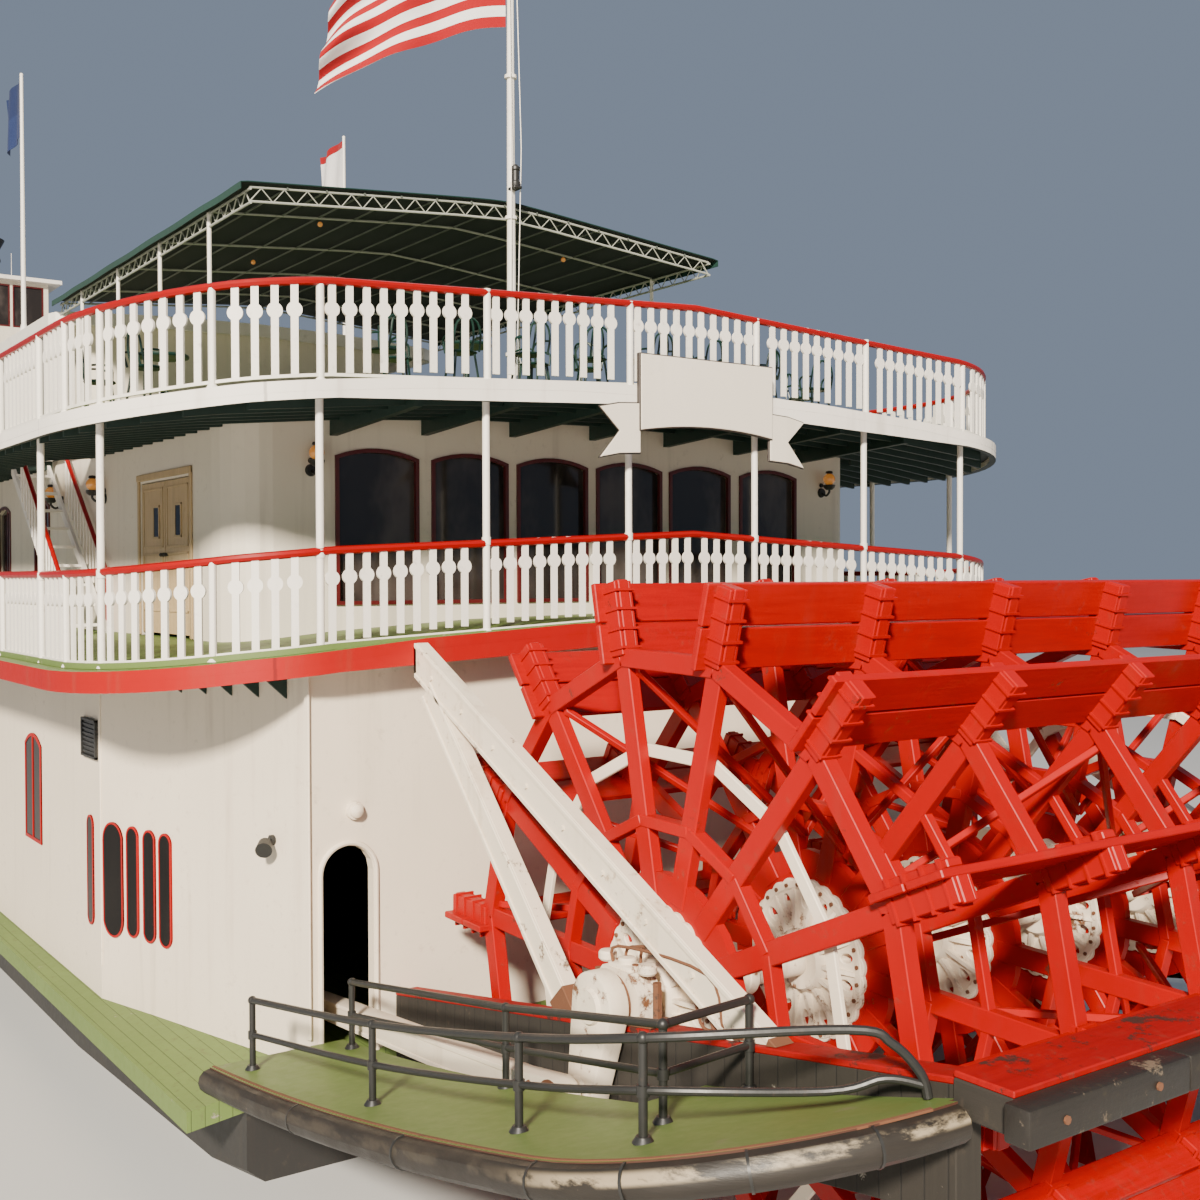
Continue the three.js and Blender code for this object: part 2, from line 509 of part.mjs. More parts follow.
pair("roof_staff", staff(ROOF_STAFF.x, ROOF_STAFF.y, roofFoot, ROOF_STAFF.top, 6), "white");
const flagX = ROOF_STAFF.x + ROOF_FLAG.gap;
const roofFlag = box(flagX, flagX + ROOF_FLAG.long, ROOF_STAFF.y - ROOF_FLAG.half,
  ROOF_STAFF.y + ROOF_FLAG.half, ROOF_FLAG.low, ROOF_FLAG.high);
piece("roof_flag_port", roofFlag, "navy", ship, SIDES.port);
piece("roof_flag_starboard", roofFlag, "white", ship, SIDES.starboard);

// FANTAIL: the platform, which curves upwards aft, and the wheel beam, on each side of the wheel
const PLATFORM = {
  fore: HULL_AFT - GAP, thick: 12, edge: 640, cornerX: -200, cornerLong: 195, cornerY: 430,
  slope: 0.12, curve: 0.000105,
};
const FENDER = { deep: 27, wide: 18 };
const PLATFORM_STATIONS = [PLATFORM.fore, 300, 150, 0, -150, -300, -410];
const fanZ = (x) => MAIN_Z + PLATFORM.slope * (HULL_AFT - x) + PLATFORM.curve * (HULL_AFT - x) ** 2;
const BEAM = { z: 501, x: -380, slope: 0.17, deep: 95, aft: -386.7 };
const beamTop = (x) => BEAM.z - BEAM.slope * (x - BEAM.x);
const edgeArc = Array.from({ length: CORNER_STEPS + 1 }, (_, i) => {
  const t = (i / CORNER_STEPS) * Math.PI / 2;
  return [PLATFORM.cornerX - PLATFORM.cornerLong * Math.sin(t),
    PLATFORM.cornerY + (PLATFORM.edge - PLATFORM.cornerY) * Math.cos(t)];
});
const CRANK_PIT = { aft: -125, outer: 488 };
function platform() {
  const inner = BEAM_Y[1] - 10;
  const plan = [[PLATFORM.fore, inner], [PLATFORM.fore, PLATFORM.edge], ...edgeArc,
    [BEAM.aft, PLATFORM.cornerY], [BEAM.aft, inner]];
  const top = PLATFORM_STATIONS.map((x) => [x, fanZ(x)]);
  const under = PLATFORM_STATIONS.map((x) => [x, fanZ(x) - PLATFORM.thick]).reverse();
  const plate = prism(plan, 0, 900).intersect(prismY([...top, ...under], 300, 700));
  const edge = [[PLATFORM.fore, PLATFORM.edge], [200, PLATFORM.edge], [0, PLATFORM.edge], ...edgeArc];
  const fenderLine = edge.map(([x, y]) => [x, y, fanZ(x) - 1 - FENDER.deep / 2]);
  const crankPit = box(CRANK_PIT.aft, HULL_AFT + 10, BEAM_Y[1], CRANK_PIT.outer, 200, 600);
  return cut(join([plate, rail(fenderLine, FENDER.wide, FENDER.deep)]), [crankPit]);
}
const wheelBeam = prismY([
  [BEAM.aft, beamTop(BEAM.aft)],
  [PLATFORM.fore, beamTop(HULL_AFT)],
  [PLATFORM.fore, beamTop(HULL_AFT) - BEAM.deep],
  [BEAM.aft, beamTop(BEAM.aft) - BEAM.deep],
], ...BEAM_Y);
pair("fantail", join([platform(), wheelBeam]), "timber");
// The planks of the stern beam: aft, fore, half length, low, high
const STERN_BEAM = [[-436, -387, 426, 478, 508], [-460, -435, 436, 473, 498]];
piece("stern_beam", join(STERN_BEAM.map(
  ([aft, fore, half, low, high]) => box(aft, fore, -half, half, low, high))), "timber");

// Bearing on each wheel beam
const BEARING = { half: 34, neck: 20, shoulder: SHAFT_Z + 12, top: SHAFT_Z + 28 };
const bearingBlock = prismY([
  [-BEARING.half, beamTop(-BEARING.half) + GAP],
  [BEARING.half, beamTop(BEARING.half) + GAP],
  [BEARING.half, BEARING.shoulder],
  [BEARING.neck, BEARING.top],
  [-BEARING.neck, BEARING.top],
  [-BEARING.half, BEARING.shoulder],
], ...BEAM_Y);
pair("bearing", cut(bearingBlock, [drum(0, SHAFT_Z, 300, 500, SHAFT_RADIUS + 0.5)]), "white");

// Braces from the edge of the boiler deck down to each wheel beam
const BRACE = {
  ys: [400, 418], head: [420, 759], foot: [-220, 445], join: [363, 712], prop: [79, 414], depth: 35, propDepth: 28,
};
function strut([x0, z0], [x1, z1], depth) {
  const across = new THREE.Vector2(z0 - z1, x1 - x0).normalize().multiplyScalar(depth / 2);
  return prismY([
    [x0 + across.x, z0 + across.y],
    [x1 + across.x, z1 + across.y],
    [x1 - across.x, z1 - across.y],
    [x0 - across.x, z0 - across.y],
  ], ...BRACE.ys);
}
const underBrace = prismY([
  [-500, beamTop(-500) + GAP], [500, beamTop(500) + GAP], [500, 200], [-500, 200],
], 380, 440);
const behindRim = box(BOILER_AFT - GAP, 500, 380, 440, 600, 900);
pair("fantail_brace", cut(join([
  strut(BRACE.foot, BRACE.head, BRACE.depth),
  strut(BRACE.prop, BRACE.join, BRACE.propDepth),
]), [underBrace, behindRim]), "white");

// Pipe rails: one along the edge of the platform, which ends in a hoop, and one round the crank pit
const PIPE = 3.3;
const PIPE_HEIGHT = 72;
const EDGE_RAIL = [[380, 612], [120, 602], [-110, 592], [-249, 579]];
const HOOP = [[-334, 469, 529], [-352, 446, 520], [-364, 431, 500], [-368, 428, 484]];
const HOOP_LOW = [[-325, 482, 487], [-349, 450, 496], [-366, 429, 492]];
const PIT_RAIL = [[380, 500], [60, 500], [-208, 530], [-185, 427]];
const onPlatform = (up) => ([x, y]) => [x, y, fanZ(x) + up];
const chain = (points) => points.slice(1).map((point, i) => bar(points[i], point, PIPE));
const pipePosts = (places) => places.map(
  (place) => bar(onPlatform(-3)(place), onPlatform(PIPE_HEIGHT)(place), PIPE));
const underRails = prismY([
  ...PLATFORM_STATIONS.map((x) => [x, fanZ(x) + GAP]), [PLATFORM_STATIONS.at(-1), 200], [HULL_AFT, 200],
], 300, 700);
pair("edge_rail", cut(join([
  chain([...EDGE_RAIL.map(onPlatform(PIPE_HEIGHT)), ...HOOP]),
  chain([...EDGE_RAIL.map(onPlatform(PIPE_HEIGHT / 2)), ...HOOP_LOW]),
  pipePosts(EDGE_RAIL),
]), [underRails]), "black");
pair("pit_rail", cut(join([
  chain(PIT_RAIL.map(onPlatform(PIPE_HEIGHT))),
  chain(PIT_RAIL.map(onPlatform(PIPE_HEIGHT / 2))),
  pipePosts(PIT_RAIL),
]), [underRails]), "black");

// PADDLE WHEEL, drawn about its axis. Arms and rings of one frame lie in one plane.
const toRadians = (degrees) => degrees * Math.PI / 180;
const RINGS = [[155, 11], [220, 9], [308, 18]]; // radius of the corners, and width
const turned = ([u, v], angle) => [u * Math.cos(angle) - v * Math.sin(angle),
  u * Math.sin(angle) + v * Math.cos(angle)];
const armAngles = Array.from({ length: ARMS }, (_, k) => toRadians(ARM_PHASE) + k * 2 * Math.PI / ARMS);
// A bar of a frame or a bucket: from one radius to another, between two distances beside the arm's middle
const spoke = (angle, r0, r1, v0, v1, y0, y1) => prismY(
  [[r0, v0], [r1, v0], [r1, v1], [r0, v1]].map((corner) => turned(corner, angle)), y0, y1);

function wheelFrame(y) {
  const [y0, y1] = [y - FRAME_THICK / 2, y + FRAME_THICK / 2];
  const polygon = (radius) => armAngles.map((angle) => turned([radius, 0], angle));
  const rings = RINGS.map(([radius, width]) => prismY(polygon(radius + width / 2), y0, y1)
    .subtract(prismY(polygon(radius - width / 2), y0 - 1, y1 + 1)));
  const arms = armAngles.map(
    (angle) => spoke(angle, HUB_RADIUS + 1, WHEEL_RADIUS, -ARM_WIDTH / 2, ARM_WIDTH / 2, y0, y1));
  return join([rings, arms]);
}
const FRAME_YS = [-2, -1, 0, 1, 2].map((n) => n * FRAME_SPACING);
const bucketFace = 1 - ARM_WIDTH / 2; // the side of the arm that leads when the ship goes ahead
const buckets = armAngles.map((angle) => spoke(angle, BUCKET_INNER, WHEEL_RADIUS, bucketFace - BUCKET_THICK,
  bucketFace, -WHEEL_HALF, WHEEL_HALF));
piece("paddle_wheel", join([FRAME_YS.map(wheelFrame), buckets]), "red", wheelGroup);

// Shaft, hub flanges and the two cranks, which stand a quarter turn apart
const CRANK = { boss: 30, eye: 19, pin: 10, pinEnd: PITMAN_Y[1] + 4 };
const CRANK_ANGLE = { port: toRadians(-77), starboard: toRadians(13) };
const arc = (x, radius, start, steps) => Array.from({ length: steps + 1 }, (_, i) => {
  const t = start + (i / steps) * Math.PI;
  return [x + radius * Math.cos(t), radius * Math.sin(t)];
});
const onSide = (sign, [near, far]) => (sign > 0 ? [near, far] : [-far, -near]);
function crank(side) {
  const web = [...arc(0, CRANK.boss, Math.PI / 2, 8), ...arc(CRANK_THROW, CRANK.eye, -Math.PI / 2, 6)];
  const [x, z] = turned([CRANK_THROW, 0], CRANK_ANGLE[side]);
  return join([
    prismY(web.map((point) => turned(point, CRANK_ANGLE[side])), ...onSide(SIDES[side], CRANK_Y)),
    drum(x, z, ...onSide(SIDES[side], [CRANK_Y[0] + 2, CRANK.pinEnd]), CRANK.pin, 12),
  ]);
}
piece("wheel_shaft", join([
  drum(0, 0, -CRANK_Y[1], CRANK_Y[1], SHAFT_RADIUS),
  FRAME_YS.map((y) => drum(0, 0, y - 9, y + 9, HUB_RADIUS, 20)),
  crank("port"),
  crank("starboard"),
]), "white", wheelGroup);

// Pitmans, from each crank pin in through the way in the house
const PITMAN = { length: 600, dropForward: 50, eye: 19, half: 13, taper: 2, neck: 60 };
function pitman(side) {
  const [x, z] = turned([CRANK_THROW, 0], CRANK_ANGLE[side]);
  const eye = arc(0, PITMAN.eye, Math.PI / 2, 10).map(([u, v]) => [x + u, z + v]);
  const tip = [x + PITMAN.length, z - PITMAN.dropForward];
  const [root, end] = [PITMAN.half + PITMAN.taper, PITMAN.half - PITMAN.taper];
  const outline = [...eye, [x + PITMAN.neck, z - root - 5], [tip[0], tip[1] - end], [tip[0], tip[1] + end],
    [x + PITMAN.neck, z + root - 5]];
  const span = onSide(SIDES[side], PITMAN_Y);
  return cut(prismY(outline, ...span), [drum(x, z, span[0] - 10, span[1] + 10, CRANK.pin + 0.5)]);
}
for (const side of Object.keys(SIDES)) piece(`pitman_${side}`, pitman(side), "white", wheelGroup);

// RUDDERS under the raked stern
const RUDDER = { x: 610, y: 260, fore: 60, aft: 165, low: 15, high: 92, stock: 9 };
const stockTop = sternBottom(RUDDER.x + 12) - 3;
pair("rudder", join([
  box(RUDDER.x - RUDDER.aft, RUDDER.x + RUDDER.fore, RUDDER.y - 5, RUDDER.y + 5, RUDDER.low, RUDDER.high),
  bar([RUDDER.x, RUDDER.y, RUDDER.low + 5], [RUDDER.x, RUDDER.y, stockTop], RUDDER.stock, 12),
]), "hull");

// FOREDECK: landing stages swung from masts, jackstaff and capstan
const foreZ = (x, y) => MAIN_Z + sheer(x) - drop(y) - 6;
const onDeck = (body) => cut(body, [mainDeckAt(0), mainDeckAt(GAP)]);
const STAGE = {
  mastX: 6760, y: 300, mastTop: 900, collarLow: 402, collarHigh: 440, boomTip: [7450, 300, 930],
  aft: 6830, fore: 7974, half: 70, z: 560, deep: 30, plate: 8, edge: 5, hangerXs: [7000, 7850],
};
const onMast = (z) => [STAGE.mastX, STAGE.y, z];
const mastFoot = onMast(foreZ(STAGE.mastX, STAGE.y));
pair("stage_mast", onDeck(join([
  bar(mastFoot, onMast(STAGE.mastTop), 13, 12, 9),
  bar(mastFoot, onMast(STAGE.collarLow - 2), 22, 12),
])), "white");
const collar = bar(onMast(STAGE.collarLow), onMast(STAGE.collarHigh), 24, 12)
  .subtract(bar(onMast(STAGE.collarLow - 20), onMast(STAGE.collarHigh + 20), 14, 12));
const stageEdges = [-1, 1].flatMap((edge) => {
  const y = STAGE.y + edge * STAGE.half;
  const girder = box(
    STAGE.aft, STAGE.fore, y - STAGE.edge, y + STAGE.edge, STAGE.z - STAGE.deep, STAGE.z + STAGE.plate + 4);
  const hangers = STAGE.hangerXs.map((x) => bar(STAGE.boomTip, [x, y - edge * 4, STAGE.z + 5], 2.5));
  return [girder, ...hangers];
});
pair("landing_stage", join([
  collar,
  bar([STAGE.mastX + 20, STAGE.y, STAGE.collarLow + 23], STAGE.boomTip, 9, 8, 6),
  box(STAGE.aft, STAGE.fore, STAGE.y - STAGE.half, STAGE.y + STAGE.half, STAGE.z, STAGE.z + STAGE.plate),
  stageEdges,
]), "white");
const JACKSTAFF = { x: 7480, top: 1500, radius: 7 };
const jackstaffFoot = foreZ(JACKSTAFF.x, 0);
piece("jackstaff", onDeck(staff(JACKSTAFF.x, 0, jackstaffFoot, JACKSTAFF.top, JACKSTAFF.radius)), "white");
const CAPSTAN_X = 7200;
const capstanProfile = [
  [0, 0], [34, 0], [34, 6], [18, 14], [15, 40], [22, 56], [26, 60], [26, 70], [0, 74],
];
piece("capstan", onDeck(lathe(capstanProfile, 14, CAPSTAN_X, 0, foreZ(CAPSTAN_X, 0))), "black");

export default ship;
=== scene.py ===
"""The looks of a sternwheel paddle steamer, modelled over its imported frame.

Places are given in millimetres as in the frame's source: lengths from the axis of the paddle
wheel, heights from the flat bottom of the hull. Meshes are made in metres in the frame's axes.
"""
import math

import bmesh
import bpy
from bpy.props import FloatProperty, FloatVectorProperty, IntProperty, PointerProperty
from mathutils import Matrix, Vector


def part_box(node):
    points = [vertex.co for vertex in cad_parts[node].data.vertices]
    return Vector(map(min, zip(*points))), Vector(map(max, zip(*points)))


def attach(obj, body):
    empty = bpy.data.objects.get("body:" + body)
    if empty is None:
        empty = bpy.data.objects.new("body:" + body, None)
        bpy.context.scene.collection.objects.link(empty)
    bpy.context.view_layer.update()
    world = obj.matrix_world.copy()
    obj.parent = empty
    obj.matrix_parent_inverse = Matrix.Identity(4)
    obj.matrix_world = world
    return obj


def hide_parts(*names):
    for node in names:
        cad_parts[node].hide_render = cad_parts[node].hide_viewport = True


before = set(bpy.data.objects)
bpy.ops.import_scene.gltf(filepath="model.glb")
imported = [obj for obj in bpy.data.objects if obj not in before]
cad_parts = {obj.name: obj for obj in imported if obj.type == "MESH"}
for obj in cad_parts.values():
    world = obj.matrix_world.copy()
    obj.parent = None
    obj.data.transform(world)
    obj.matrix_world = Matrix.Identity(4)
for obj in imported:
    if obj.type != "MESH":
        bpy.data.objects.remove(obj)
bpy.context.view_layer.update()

bl_info = {
    "name": "Sternwheel Paddle Steamer",
    "version": (1, 0, 0),
    "blender": (4, 5, 0),
    "location": "View3D > Sidebar > Steamer",
    "description": "Models the pieces and finishes of a sternwheel paddle steamer over its frame",
    "category": "Add Mesh",
}

# The frame's own measures, in millimetres
SHIP_SHIFT = -3757
MAIN_Z, BOILER_Z, HURRICANE_Z, TEXAS_ROOF_Z, SHAFT_Z = 320, 783, 1075, 1385, 458
DECK_HALF, DECK_THICK, CAMBER, STRIP = 740, 12, 52, 200
BOILER_DECK = {"aft": 388, "fore": 6620, "z": BOILER_Z, "rim": 24}
HURRICANE_DECK = {"aft": 384, "fore": 6560, "z": HURRICANE_Z, "rim": 20}
AFT_CORNER, FORE_CORNER = (315, 232), (300, 420)
HATCH = (1220, 1454, 541, 611)
HOUSE = {"aft": 432, "bend": 872, "narrow": 525, "wide": 628}
SALOON_SIDE, SALOON_STERN = 532, 640
SLANT = math.atan2(HOUSE["wide"] - HOUSE["narrow"], HOUSE["bend"] - HOUSE["aft"])
FAN = {"root": 430, "slope": 0.12, "curve": 0.000105, "thick": 12}
FENDER_DROP = 14.5
WHEEL = {"radius": 381, "half": 385, "phase": math.radians(1.52), "bucket_inner": 303,
         "bucket_thick": 7, "hub": 82, "shaft": 14, "frames": (-365, -182.5, 0, 182.5, 365)}
CRANK = {"throw": 85, "boss": 30, "eye": 19, "pin": 10, "pin_end": 484, "near": 428, "far": 450,
         "port": math.radians(-77), "starboard": math.radians(13)}
PITMAN = {"near": 458, "far": 480, "long": 600, "fall": 50, "neck": 60, "eye": 19}
BEAM = {"z": 501, "x": -380, "slope": 0.17, "deep": 95, "aft": -386.7, "fore": 429.7, "near": 396, "far": 422}
EDGE_ARC = {"x": -200, "y": 430, "long": 195, "edge": 640}
CRANK_PIT = {"aft": -125, "outer": 488}
AWNING = {"aft": 870, "fore": 1890, "half": 430, "eave": 1384, "ridge": 1420, "side": 415,
          "posts": (1040, 1270, 1500, 1730)}
BRACE = {"head": (420, 759), "foot": (-220, 445), "join": (363, 712), "prop": (79, 414)}
WATERLINE = 0.183
SIDES = {"port": 1, "starboard": -1}


# Measures

def place(point):
    """A point of the ship in millimetres, as a vector of the frame in metres."""
    x, y, z = point
    return Vector(((x + SHIP_SHIFT) / 1000, y / 1000, z / 1000))


def drop(y):
    """How far a cambered deck has fallen at y, in the frame's straight strips."""
    low = math.floor(abs(y) / STRIP)
    share = abs(y) / STRIP - low
    at = [CAMBER * ((low + n) * STRIP / DECK_HALF) ** 2 for n in (0, 1)]
    return at[0] * (1 - share) + at[1] * share


def deck_edge(deck, inset, steps=16):
    """The port edge of a deck, moved inwards, from the middle of its stern to that of its bow."""
    def corner(x, sign, long, wide):
        points = []
        for i in range(steps + 1):
            t = i / steps * math.pi / 2
            across = Vector((sign * math.sin(t) / long, math.cos(t) / wide)).normalized() * inset
            points.append([x + sign * long * (math.sin(t) - 1) - across.x,
                           DECK_HALF - wide * (1 - math.cos(t)) - across.y])
        return points
    aft = corner(deck["aft"], -1, *AFT_CORNER)
    fore = corner(deck["fore"], 1, *FORE_CORNER)
    return [[deck["aft"] + inset, 0]] + aft[::-1] + fore + [[deck["fore"] - inset, 0]]


def both_sides(points):
    """Port points and their mirror images, once round the ship."""
    return points + [[x, -y, *rest] for x, y, *rest in points[::-1]]


def fan_z(x):
    """The top of the fantail's platform, which curves upwards aft."""
    back = FAN["root"] - x
    return MAIN_Z + FAN["slope"] * back + FAN["curve"] * back ** 2


def beam_top(x):
    return BEAM["z"] - BEAM["slope"] * (x - BEAM["x"])


def arc(radius, start, sweep, steps, x=0.0, z=0.0):
    """Points of an arc, as (x, z)."""
    turns = [start + sweep * i / steps for i in range(steps + 1)]
    return [(x + radius * math.cos(turn), z + radius * math.sin(turn)) for turn in turns]


def rounded(points, steps=6):
    """A smooth line through points, with so many steps between two of them."""
    ends = [points[0], *points, points[-1]]
    line = []
    for four in zip(ends, ends[1:], ends[2:], ends[3:]):
        for i in range(steps):
            t = i / steps
            line.append([q + 0.5 * ((r - p) * t + (2 * p - 5 * q + 4 * r - s) * t * t
                                    + (3 * q - p - 3 * r + s) * t ** 3) for p, q, r, s in zip(*four)])
    return line + [list(points[-1])]


def house_wall(x):
    """Where the port wall of the main house stands: a slanted panel aft, and straight further on."""
    if x > HOUSE["bend"]:
        return HOUSE["wide"]
    share = (x - HOUSE["aft"]) / (HOUSE["bend"] - HOUSE["aft"])
    return HOUSE["narrow"] + share * (HOUSE["wide"] - HOUSE["narrow"])


def walk(points, spacing, start=0.0):
    """Evenly spaced (x, y, heading) along a line of [x, y]."""
    places, left = [], start
    for (ax, ay), (bx, by) in zip(points, points[1:]):
        span = math.hypot(bx - ax, by - ay)
        heading = math.atan2(by - ay, bx - ax)
        while left < span:
            share = left / span
            places.append((ax + (bx - ax) * share, ay + (by - ay) * share, heading))
            left += spacing
        left -= span
    return places


# Tools of the hand

def only(*objects):
    """Selects these objects alone, the first of them active."""
    bpy.ops.object.select_all(action="DESELECT")
    for each in objects:
        each.select_set(True)
    bpy.context.view_layer.objects.active = objects[0]


def edit(obj):
    only(obj)
    bpy.ops.object.mode_set(mode="EDIT")
    bpy.ops.mesh.select_all(action="SELECT")


def leave():
    bpy.ops.object.mode_set(mode="OBJECT")


def outward(obj):
    """Merges doubles and turns every face outwards."""
    edit(obj)
    bpy.ops.mesh.remove_doubles(threshold=1e-6)
    bpy.ops.mesh.normals_make_consistent(inside=False)
    leave()


def modifier(obj, kind, **settings):
    """Adds a modifier with its settings and applies it."""
    only(obj)
    made = obj.modifiers.new(kind.title(), kind)
    for name, value in settings.items():
        setattr(made, name, value)
    bpy.ops.object.modifier_apply(modifier=made.name)
    return obj


def soften(obj, width, segments=1, angle=35):
    """Rounds the sharp edges; the width is in millimetres."""
    return modifier(obj, "BEVEL", width=width / 1000, segments=segments, limit_method="ANGLE",
                    angle_limit=math.radians(angle))


def block(low, high, edge=0.0, segments=1):
    """A box between two corners, with its edges rounded."""
    low, high = place(low), place(high)
    bpy.ops.object.select_all(action="DESELECT")
    bpy.ops.mesh.primitive_cube_add(size=1, location=(low + high) / 2, scale=high - low)
    obj = bpy.context.object
    bpy.ops.object.transform_apply()
    return soften(obj, edge, segments) if edge else obj


def rod(a, b, radius, sides=12, end=None):
    """A round bar from a to b, tapered when the far end's radius is given."""
    a, b = place(a), place(b)
    turn = (b - a).to_track_quat("Z", "Y").to_euler()
    bpy.ops.object.select_all(action="DESELECT")
    bpy.ops.mesh.primitive_cone_add(vertices=sides, radius1=radius / 1000,
                                    radius2=(radius if end is None else end) / 1000,
                                    depth=(b - a).length, location=(a + b) / 2, rotation=turn)
    bpy.ops.object.transform_apply()
    return bpy.context.object


def upright(x, y, low, high, radius, sides=12, end=None):
    """A round bar that stands upright."""
    return rod([x, y, low], [x, y, high], radius, sides, end)


def ball(centre, radius, segments=16, rings=10):
    bpy.ops.object.select_all(action="DESELECT")
    bpy.ops.mesh.primitive_uv_sphere_add(segments=segments, ring_count=rings, radius=radius / 1000,
                                         location=place(centre))
    bpy.ops.object.transform_apply()
    return bpy.context.object


def trace(points, closed=False):
    """A line through points: one vertex, extruded from point to point, and filled when closed."""
    spots = [place(p) for p in points]
    bpy.ops.object.select_all(action="DESELECT")
    bpy.ops.mesh.primitive_plane_add(size=0.001, location=spots[0])
    obj = bpy.context.object
    bpy.ops.object.transform_apply()
    edit(obj)
    bpy.ops.mesh.select_mode(type="VERT")
    bpy.ops.mesh.merge(type="CENTER")
    if closed:
        spots.append(spots[0])
    for before, after in zip(spots, spots[1:]):
        bpy.ops.mesh.extrude_region_move(TRANSFORM_OT_translate={"value": after - before})
    if closed:
        bpy.ops.mesh.select_all(action="SELECT")
        bpy.ops.mesh.remove_doubles(threshold=2e-6)
        bpy.ops.mesh.edge_face_add()
    leave()
    return obj


def slab(points, along, edge=0.0, segments=1):
    """An outline filled and extruded along a direction in millimetres."""
    obj = trace(points, closed=True)
    edit(obj)
    bpy.ops.mesh.extrude_region_move(TRANSFORM_OT_translate={"value": Vector(along) / 1000})
    leave()
    outward(obj)
    return soften(obj, edge, segments) if edge else obj


def pipe(points, radius, resolution=2, closed=False):
    """A round pipe along points: a traced line turned to a curve, given its section and turned to a mesh."""
    obj = trace(points + points[:1] if closed else points)
    if closed:
        edit(obj)
        bpy.ops.mesh.remove_doubles(threshold=2e-6)
        leave()
    only(obj)
    bpy.ops.object.convert(target="CURVE")
    obj.data.bevel_depth = radius / 1000
    obj.data.bevel_resolution = resolution
    obj.data.use_fill_caps = not closed
    bpy.ops.object.convert(target="MESH")
    return bpy.context.object


def ribbon(points, width, height, edge=0.0):
    """A flat-sided rail along points at the middle of its foot."""
    obj = trace(points)
    edit(obj)
    bpy.ops.mesh.extrude_region_move(TRANSFORM_OT_translate={"value": (0, 0, height / 1000)})
    leave()
    modifier(obj, "SOLIDIFY", thickness=width / 1000, offset=0, use_even_offset=True)
    return soften(obj, edge) if edge else obj


def turned(profile, centre, steps=24, axis="Z"):
    """A profile of [radius, height] spun about an axis through a centre."""
    x, y, z = centre
    if axis == "Z":
        points = [[x + r, y, z + h] for r, h in profile]
        about = (0, 0, 1)
    else:
        points = [[x + r, y + h, z] for r, h in profile]
        about = (0, 1, 0)
    obj = trace(points)
    edit(obj)
    bpy.ops.mesh.spin(steps=steps, angle=math.tau, center=place(centre), axis=about)
    bpy.ops.mesh.select_all(action="SELECT")
    bpy.ops.mesh.remove_doubles(threshold=5e-6)
    bpy.ops.mesh.normals_make_consistent(inside=False)
    leave()
    return obj


def twin_of(obj):
    """A copy of a piece with its own mesh."""
    twin = obj.copy()
    twin.data = obj.data.copy()
    bpy.context.scene.collection.objects.link(twin)
    return twin


def copies(obj, matrices):
    """Copies of a piece, moved there by matrices in metres; the piece itself goes."""
    made = []
    for matrix in matrices:
        twin = twin_of(obj)
        twin.data.transform(matrix)
        made.append(twin)
    bpy.data.objects.remove(obj)
    return made


def shift(x=0.0, y=0.0, z=0.0):
    return Matrix.Translation((x / 1000, y / 1000, z / 1000))


def spun(angle, centre, axis="Z"):
    """A turn about an axis through a point of the ship."""
    middle = place(centre)
    return Matrix.Translation(middle) @ Matrix.Rotation(angle, 4, axis) @ Matrix.Translation(-middle)


def mirrored(obj):
    """A copy of a piece on the other side of the ship."""
    twin = twin_of(obj)
    only(twin)
    twin.scale.y = -1
    bpy.ops.object.transform_apply()
    outward(twin)
    return twin


def joined(objects):
    objects = list(objects)
    only(*objects)
    if len(objects) > 1:
        bpy.ops.object.join()
    return bpy.context.object


def holed(obj, cutters):
    """Cuts pieces out of a piece."""
    cutter = joined(cutters)
    modifier(obj, "BOOLEAN", operation="DIFFERENCE", object=cutter, solver="EXACT")
    bpy.data.objects.remove(cutter)
    return obj


def trimmed(obj, spot, normal):
    """Cuts away what lies beyond a plane and closes the cut."""
    edit(obj)
    bpy.ops.mesh.bisect(plane_co=place(spot), plane_no=normal, clear_outer=True, use_fill=True)
    leave()
    return obj


def cloth(columns, rows, shape, thick):
    """A grid of cloth whose points lie at shape(along, up), both from 0 to 1, with its thickness."""
    bpy.ops.object.select_all(action="DESELECT")
    bpy.ops.mesh.primitive_grid_add(x_subdivisions=columns, y_subdivisions=rows, size=1)
    obj = bpy.context.object
    for vertex in obj.data.vertices:
        vertex.co = place(shape(vertex.co.x + 0.5, vertex.co.y + 0.5))
    return modifier(obj, "SOLIDIFY", thickness=thick / 1000, offset=0)


def painted(obj, material):
    obj.data.materials.clear()
    obj.data.materials.append(material)
    return obj


def coat(name, *objects):
    """Joins pieces and gives them the finish of that name."""
    return painted(joined(objects), finish(name))


def with_mirror(obj):
    """A port piece joined with its mirror image."""
    return joined([obj, mirrored(obj)])


def keep(obj, name, body="ship", slot=None, replaces=(), smooth=30):
    """Names a finished piece, smooths it and lets it ride on its body."""
    obj.name = name
    obj.data.name = name
    only(obj)
    if smooth:
        bpy.ops.object.shade_smooth_by_angle(angle=math.radians(smooth))
    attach(obj, body)
    if replaces:
        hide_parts(*replaces)
    return obj


def both(obj, name, **facts):
    """Keeps a port piece and its mirror image; {} in names stands for the side."""
    def told(side):
        facts_here = dict(facts)
        for key in ("body", "replaces"):
            if key in facts_here:
                value = facts_here[key]
                facts_here[key] = value.format(side) if isinstance(value, str) else [
                    each.format(side) for each in value]
        return facts_here
    twin = mirrored(obj)
    keep(obj, f"{name}_port", **told("port"))
    keep(twin, f"{name}_starboard", **told("starboard"))


def cambered(obj):
    """Lowers a level piece by the camber of the decks."""
    for vertex in obj.data.vertices:
        vertex.co.z -= drop(vertex.co.y * 1000) / 1000
    return obj


